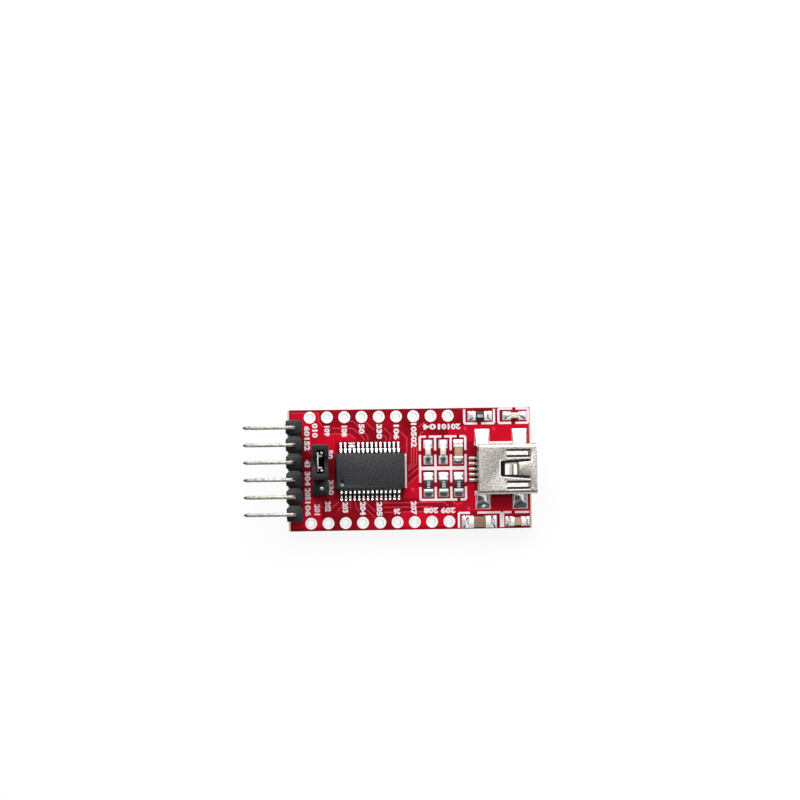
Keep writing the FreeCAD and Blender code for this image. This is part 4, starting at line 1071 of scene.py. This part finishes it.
# %% Numbers on the resistors
RESISTOR_NUMBER = (0.95, 0.5)

bm = bmesh.new()
for number in range(1, 5):
    low, high = node_box(f"resistor_{number}_body")
    middle, size = (low + high) / 2, high - low
    place = placed(*middle.xy, high.z, 90 if size.y > size.x else 0)
    add_number(bm, f"{number}01", RESISTOR_NUMBER, place, 0.01)
finish_piece(bm, "resistor_numbers", "board", NUMBER_INK, 20.0)
print("digits on four resistors")

# %% [markdown]
# ## The socket
# The shell is folded steel sheet with a plastic block and tongue inside. The
# CAD model has its folds, cuts and feet already, so modelling it again would
# only lose them: its edges are broken lightly and it gets its finish.

# %% Shell, plastic and contacts
refined("socket_shell", SHEET, 0.06, smooth_deg=24.0)
refined("socket_contacts", SHEET, 0.03)
refined("socket_block", NYLON, 0.04)
refined("socket_tongue", NYLON, 0.05)
print("socket rounded")

# %% [markdown]
# ## The cuts in the roof
# The latch and the two springs are freed from the roof by slits, whose lower
# edges shine as thin rims. The CAD sheet has the real cuts. At this size they
# read better when bars a hair above the roof underline them: dark bars of
# painted shade along the slits, bright bars of painted highlight along the
# rims, and two bright bars more as painted highlights on the folds near the
# latch's end, beside one dark bar of painted shade.

# %% Slits, rims and springs in the roof
ROOF = node_box("socket_shell")[1].z
ROOF_SUNK = 0.01
SHADE_PROUD, SLIT_PROUD, RIM_PROUD, FOLD_PROUD = 0.004, 0.006, 0.01, 0.02
SLIT, RIM = 0.3, 0.18
SPRING_LINES = (2.16, -2.5)
SPRING_START, SPRING_END = 13.95, 17.35
SPRING_HALF = 0.46
SPRING_SPAN = (3.1, 0.56)
LATCH_SLITS = [
    [(13.4, 0.7), (13.8, 0.98), (17.35, 1.16)],
    [(13.4, -0.95), (13.8, -1.16), (17.35, -1.46)],
]
LATCH_FOLD_HIGHLIGHTS = [(14.0, 0.62), (15.2, 0.5)]
FOLD_SHADE, FOLD_SHADE_WIDTH = 15.56, 0.14
FOLD_TOP, FOLD_BOTTOM = 0.52, -0.98

# Dark bars of painted shade along the slits and beside the latch's folds.
bm = bmesh.new()
for y in SPRING_LINES:
    for side in (1, -1):
        edge = y + side * SPRING_HALF
        ribbon(bm, [(SPRING_START, edge), (SPRING_END, edge)], SLIT, ROOF - ROOF_SUNK, ROOF + SLIT_PROUD)
for points in LATCH_SLITS:
    ribbon(bm, points, SLIT, ROOF - ROOF_SUNK, ROOF + SLIT_PROUD)
shade_line = [(FOLD_SHADE, FOLD_TOP), (FOLD_SHADE, FOLD_BOTTOM)]
ribbon(bm, shade_line, FOLD_SHADE_WIDTH, ROOF - ROOF_SUNK, ROOF + SHADE_PROUD)
finish_piece(bm, "roof_slit_painted_shade", "board", NYLON)

# Bright bars of painted highlight along the rims and on the latch's folds.
bm = bmesh.new()
for y in SPRING_LINES:
    low_side = y - SPRING_HALF - (SLIT + RIM) / 2
    ribbon(bm, [(SPRING_START, low_side), (SPRING_END, low_side)], RIM, ROOF - ROOF_SUNK, ROOF + RIM_PROUD)
rim_highlight_line = [(13.2, 1.2), (12.95, 0.95), (12.95, -1.1), (13.2, -1.36), (13.8, -1.4), (17.35, -1.7)]
ribbon(bm, rim_highlight_line, RIM, ROOF - ROOF_SUNK, ROOF + RIM_PROUD)
for x, width in LATCH_FOLD_HIGHLIGHTS:
    ribbon(bm, [(x, FOLD_TOP), (x, FOLD_BOTTOM)], width, ROOF - ROOF_SUNK, ROOF + FOLD_PROUD)
finish_piece(bm, "roof_rim_painted_highlights", "board", TIN)


def spring(u, v):
    """A strip that is pressed in along its length and leans towards +Y."""
    return 0.03 + 0.07 * (1 - v) - 0.02 * math.sin(math.pi * u)


bm = bmesh.new()
for y in SPRING_LINES:
    heap(bm, SPRING_SPAN, spring, placed(SPRING_START, y, ROOF, 0), (12, 4))
finish_piece(bm, "roof_springs", "board", SHEET)
print("springs with their slits")

# %% [markdown]
# ## Solder at the socket
# A foot stands in a broad pool that is highest at the foot. On the far side the
# pool falls away from the socket and mirrors the bright side. On the near side
# it falls two ways, so it is dark but for a bright flank, as on the real board.

# %% Pools round the feet and heaps on the contacts
FOOT_MIDDLES = (10.7, 16.2)
SOCKET_Y = -0.12
POOL_START, POOL_SPAN = 3.42, (2.45, 2.16)
CONTACT_PITCH = 0.8
CONTACT_HEAP_START, CONTACT_HEAP_SPAN = 8.66, (0.9, 0.32)


def pool(u, v):
    """Highest at the foot and wavy where the foot enters."""
    brim = 0.03 * math.cos(14 * v) * (1 - u) ** 2
    return dome(v, 10) * (1 - u**12) * (0.05 + 0.55 * (1 - u) ** 1.1 + brim)


def two_sided_pool(u, v):
    """A slope away from the foot that meets a slope towards +X in a wavy, rounded ridge."""
    outward = 0.05 + 0.75 * (1 - u) ** 1.1 + 0.05 * math.sin(9 * u + 4 * v)
    aside = 0.08 + (0.62 + 0.4 * v) * (1 - v)
    rounding = max(0.06 - abs(outward - aside), 0.0) ** 2 * 4
    return dome(v, 10) * (1 - u**12) * (min(outward, aside) - rounding)


def contact_heap(u, v):
    """A low drop along a contact's foot."""
    return 0.17 * abs(math.sin(math.pi * u)) ** 0.5 * dome(v, 4)


bm = bmesh.new()
for x in FOOT_MIDDLES:
    for side, shape in ((1, pool), (-1, two_sided_pool)):
        place = placed(x, SOCKET_Y + side * POOL_START, PAD_TOP - 0.01, 90 * side)
        heap(bm, POOL_SPAN, shape, place, (16, 16))
for number in range(-2, 3):
    place = placed(CONTACT_HEAP_START, SOCKET_Y + number * CONTACT_PITCH, PAD_TOP - 0.01, 0)
    heap(bm, CONTACT_HEAP_SPAN, contact_heap, place, (6, 4))
finish_piece(bm, "socket_joints", "board", SOLDER, 60.0)
print("four pools and five heaps")

# %% [markdown]
# ## The camera
# The photo looks almost straight down on the board from about half a metre,
# from a little to the header's side. The camera is placed by that direction
# and aimed at the point of the board's plane that falls in the photo's middle.

# %% Camera
VIEW_OFFSET = Vector((-28.5, 2.7, 500.0))
AIM = Vector((-1.31, 10.19, TOP))
ROLL = math.radians(-0.8)
FOCAL_PIXELS = 3396.0
PICTURE_PIXELS = 800

camera_data = bpy.data.cameras.new("camera")
camera = bpy.data.objects.new("camera", camera_data)
bpy.context.scene.collection.objects.link(camera)
bpy.context.scene.camera = camera
camera_data.sensor_width = 36.0
camera_data.lens = FOCAL_PIXELS * camera_data.sensor_width / PICTURE_PIXELS
camera_data.clip_start = 0.01
camera_data.clip_end = 10.0

backward = (VIEW_OFFSET - AIM).normalized()
across = Vector((math.cos(ROLL), math.sin(ROLL), 0.0))
across = (across - backward * across.dot(backward)).normalized()
upward = backward.cross(across)
turn = Matrix((across, upward, backward)).transposed().to_4x4()
camera.matrix_world = Matrix.Translation(VIEW_OFFSET * MM) @ turn
print("camera", round((VIEW_OFFSET - AIM).length), "mm from the board")

# %% [markdown]
# ## The light
# The table is white paper. A photographer's tent surrounds it: white near the
# table, grey straight above, bright on the far side and dark on the near side.
# Flat metal then shows the grey, slopes that face the far side turn white, and
# slopes that face the near side turn dark, as on the real board.

# %% Floor
FLOOR_Z = CAD_BOX[0][2]
GLOW_SHARE = 0.9
scene = bpy.context.scene
scene.view_settings.view_transform = "Standard"


def seen_directly(tools):
    """Camera rays, and rays from mirrors or through clear things, each as 1."""
    rays = tools.node("ShaderNodeLightPath").socket.node.outputs
    camera_ray, mirrored, through = (
        Value(tools, rays[f"Is {kind} Ray"]) for kind in ("Camera", "Glossy", "Transmission")
    )
    return camera_ray, mirrored.most(through)


def add_floor():
    """A wide pale floor just under the lowest pin tails."""
    bm = bmesh.new()
    bmesh.ops.create_grid(bm, x_segments=1, y_segments=1, size=2.0)
    bmesh.ops.translate(bm, vec=(0, 0, FLOOR_Z), verts=bm.verts)
    mesh = bpy.data.meshes.new("floor")
    bm.to_mesh(mesh)
    bm.free()
    floor = bpy.data.objects.new("floor", mesh)
    scene.collection.objects.link(floor)
    finish = Finish("floor_paper", Roughness=0.9, Base_Color=(0.86, 0.86, 0.86, 1.0))
    camera_ray, bounced = seen_directly(finish)
    glow = finish.node("ShaderNodeEmission", sockets={"Color": (1, 1, 1, 1), "Strength": 1.0})
    paper = Value(finish, finish.shader.outputs[0])
    share = camera_ray.most(bounced) * GLOW_SHARE
    blend = finish.node("ShaderNodeMixShader", sockets={0: share, 1: paper, 2: glow})
    finish.link(blend, finish.tree.nodes["Material Output"].inputs["Surface"])
    mesh.materials.append(finish.material)


add_floor()
print("floor at", round(FLOOR_Z / MM, 2), "mm")

# %% Tent and lamp


def add_tent():
    """The world: its brightness is a function of the direction."""
    world = bpy.data.worlds.new("tent")
    scene.world = world
    world.use_nodes = True
    tools = Tools(world.node_tree)
    x, y, z = tools.split(tools.node("ShaderNodeTexCoord", output="Generated"))
    near_to_far = y.ease(-0.36, -0.04, 0.05, 0.6) + y.ease(0.02, 0.32, 0.0, 0.8)
    aside = x.ease(0.2, 0.45, 1.0, 1.6)
    overhead = z.ease(0.1, 0.45)
    tent = (overhead * near_to_far * aside + (1 - overhead) * 0.95) * x.ease(0.6, 0.92, 1.0, 0.3)
    camera_ray = seen_directly(tools)[0]
    background = world.node_tree.nodes["Background"]
    tools.link((1, 1, 1, 1), background.inputs["Color"])
    tools.link(camera_ray + (1 - camera_ray) * tent, background.inputs["Strength"])


def add_lamp(name, place, size, power):
    """A soft square lamp aimed at the board's middle, placed in millimetres."""
    data = bpy.data.lights.new(name, "AREA")
    data.shape = "SQUARE"
    data.size = size * MM
    data.energy = power
    lamp = bpy.data.objects.new(name, data)
    scene.collection.objects.link(lamp)
    lamp.location = Vector(place) * MM
    lamp.rotation_euler = (-Vector(place)).to_track_quat("-Z", "Y").to_euler()


add_tent()
add_lamp("key", (-60, 260, 300), 200, 1.1)

# %% [markdown]
# ## The CAD nodes that stay, and the end
# The board and the flat pads are exact as they are, so they keep their meshes
# and only wear a finish of this script.

# %% Materials on the CAD nodes that stay
for name, material in (
    ("circuit_board", BOARD),
    ("chip_pads", SOLDER),
    ("solder_bridge", SOLDER),
    ("socket_pads", SOLDER),
    ("part_pads", SOLDER),
):
    for slot in nodes[name].material_slots:
        slot.material = material
print("the board and its pads have their finishes")
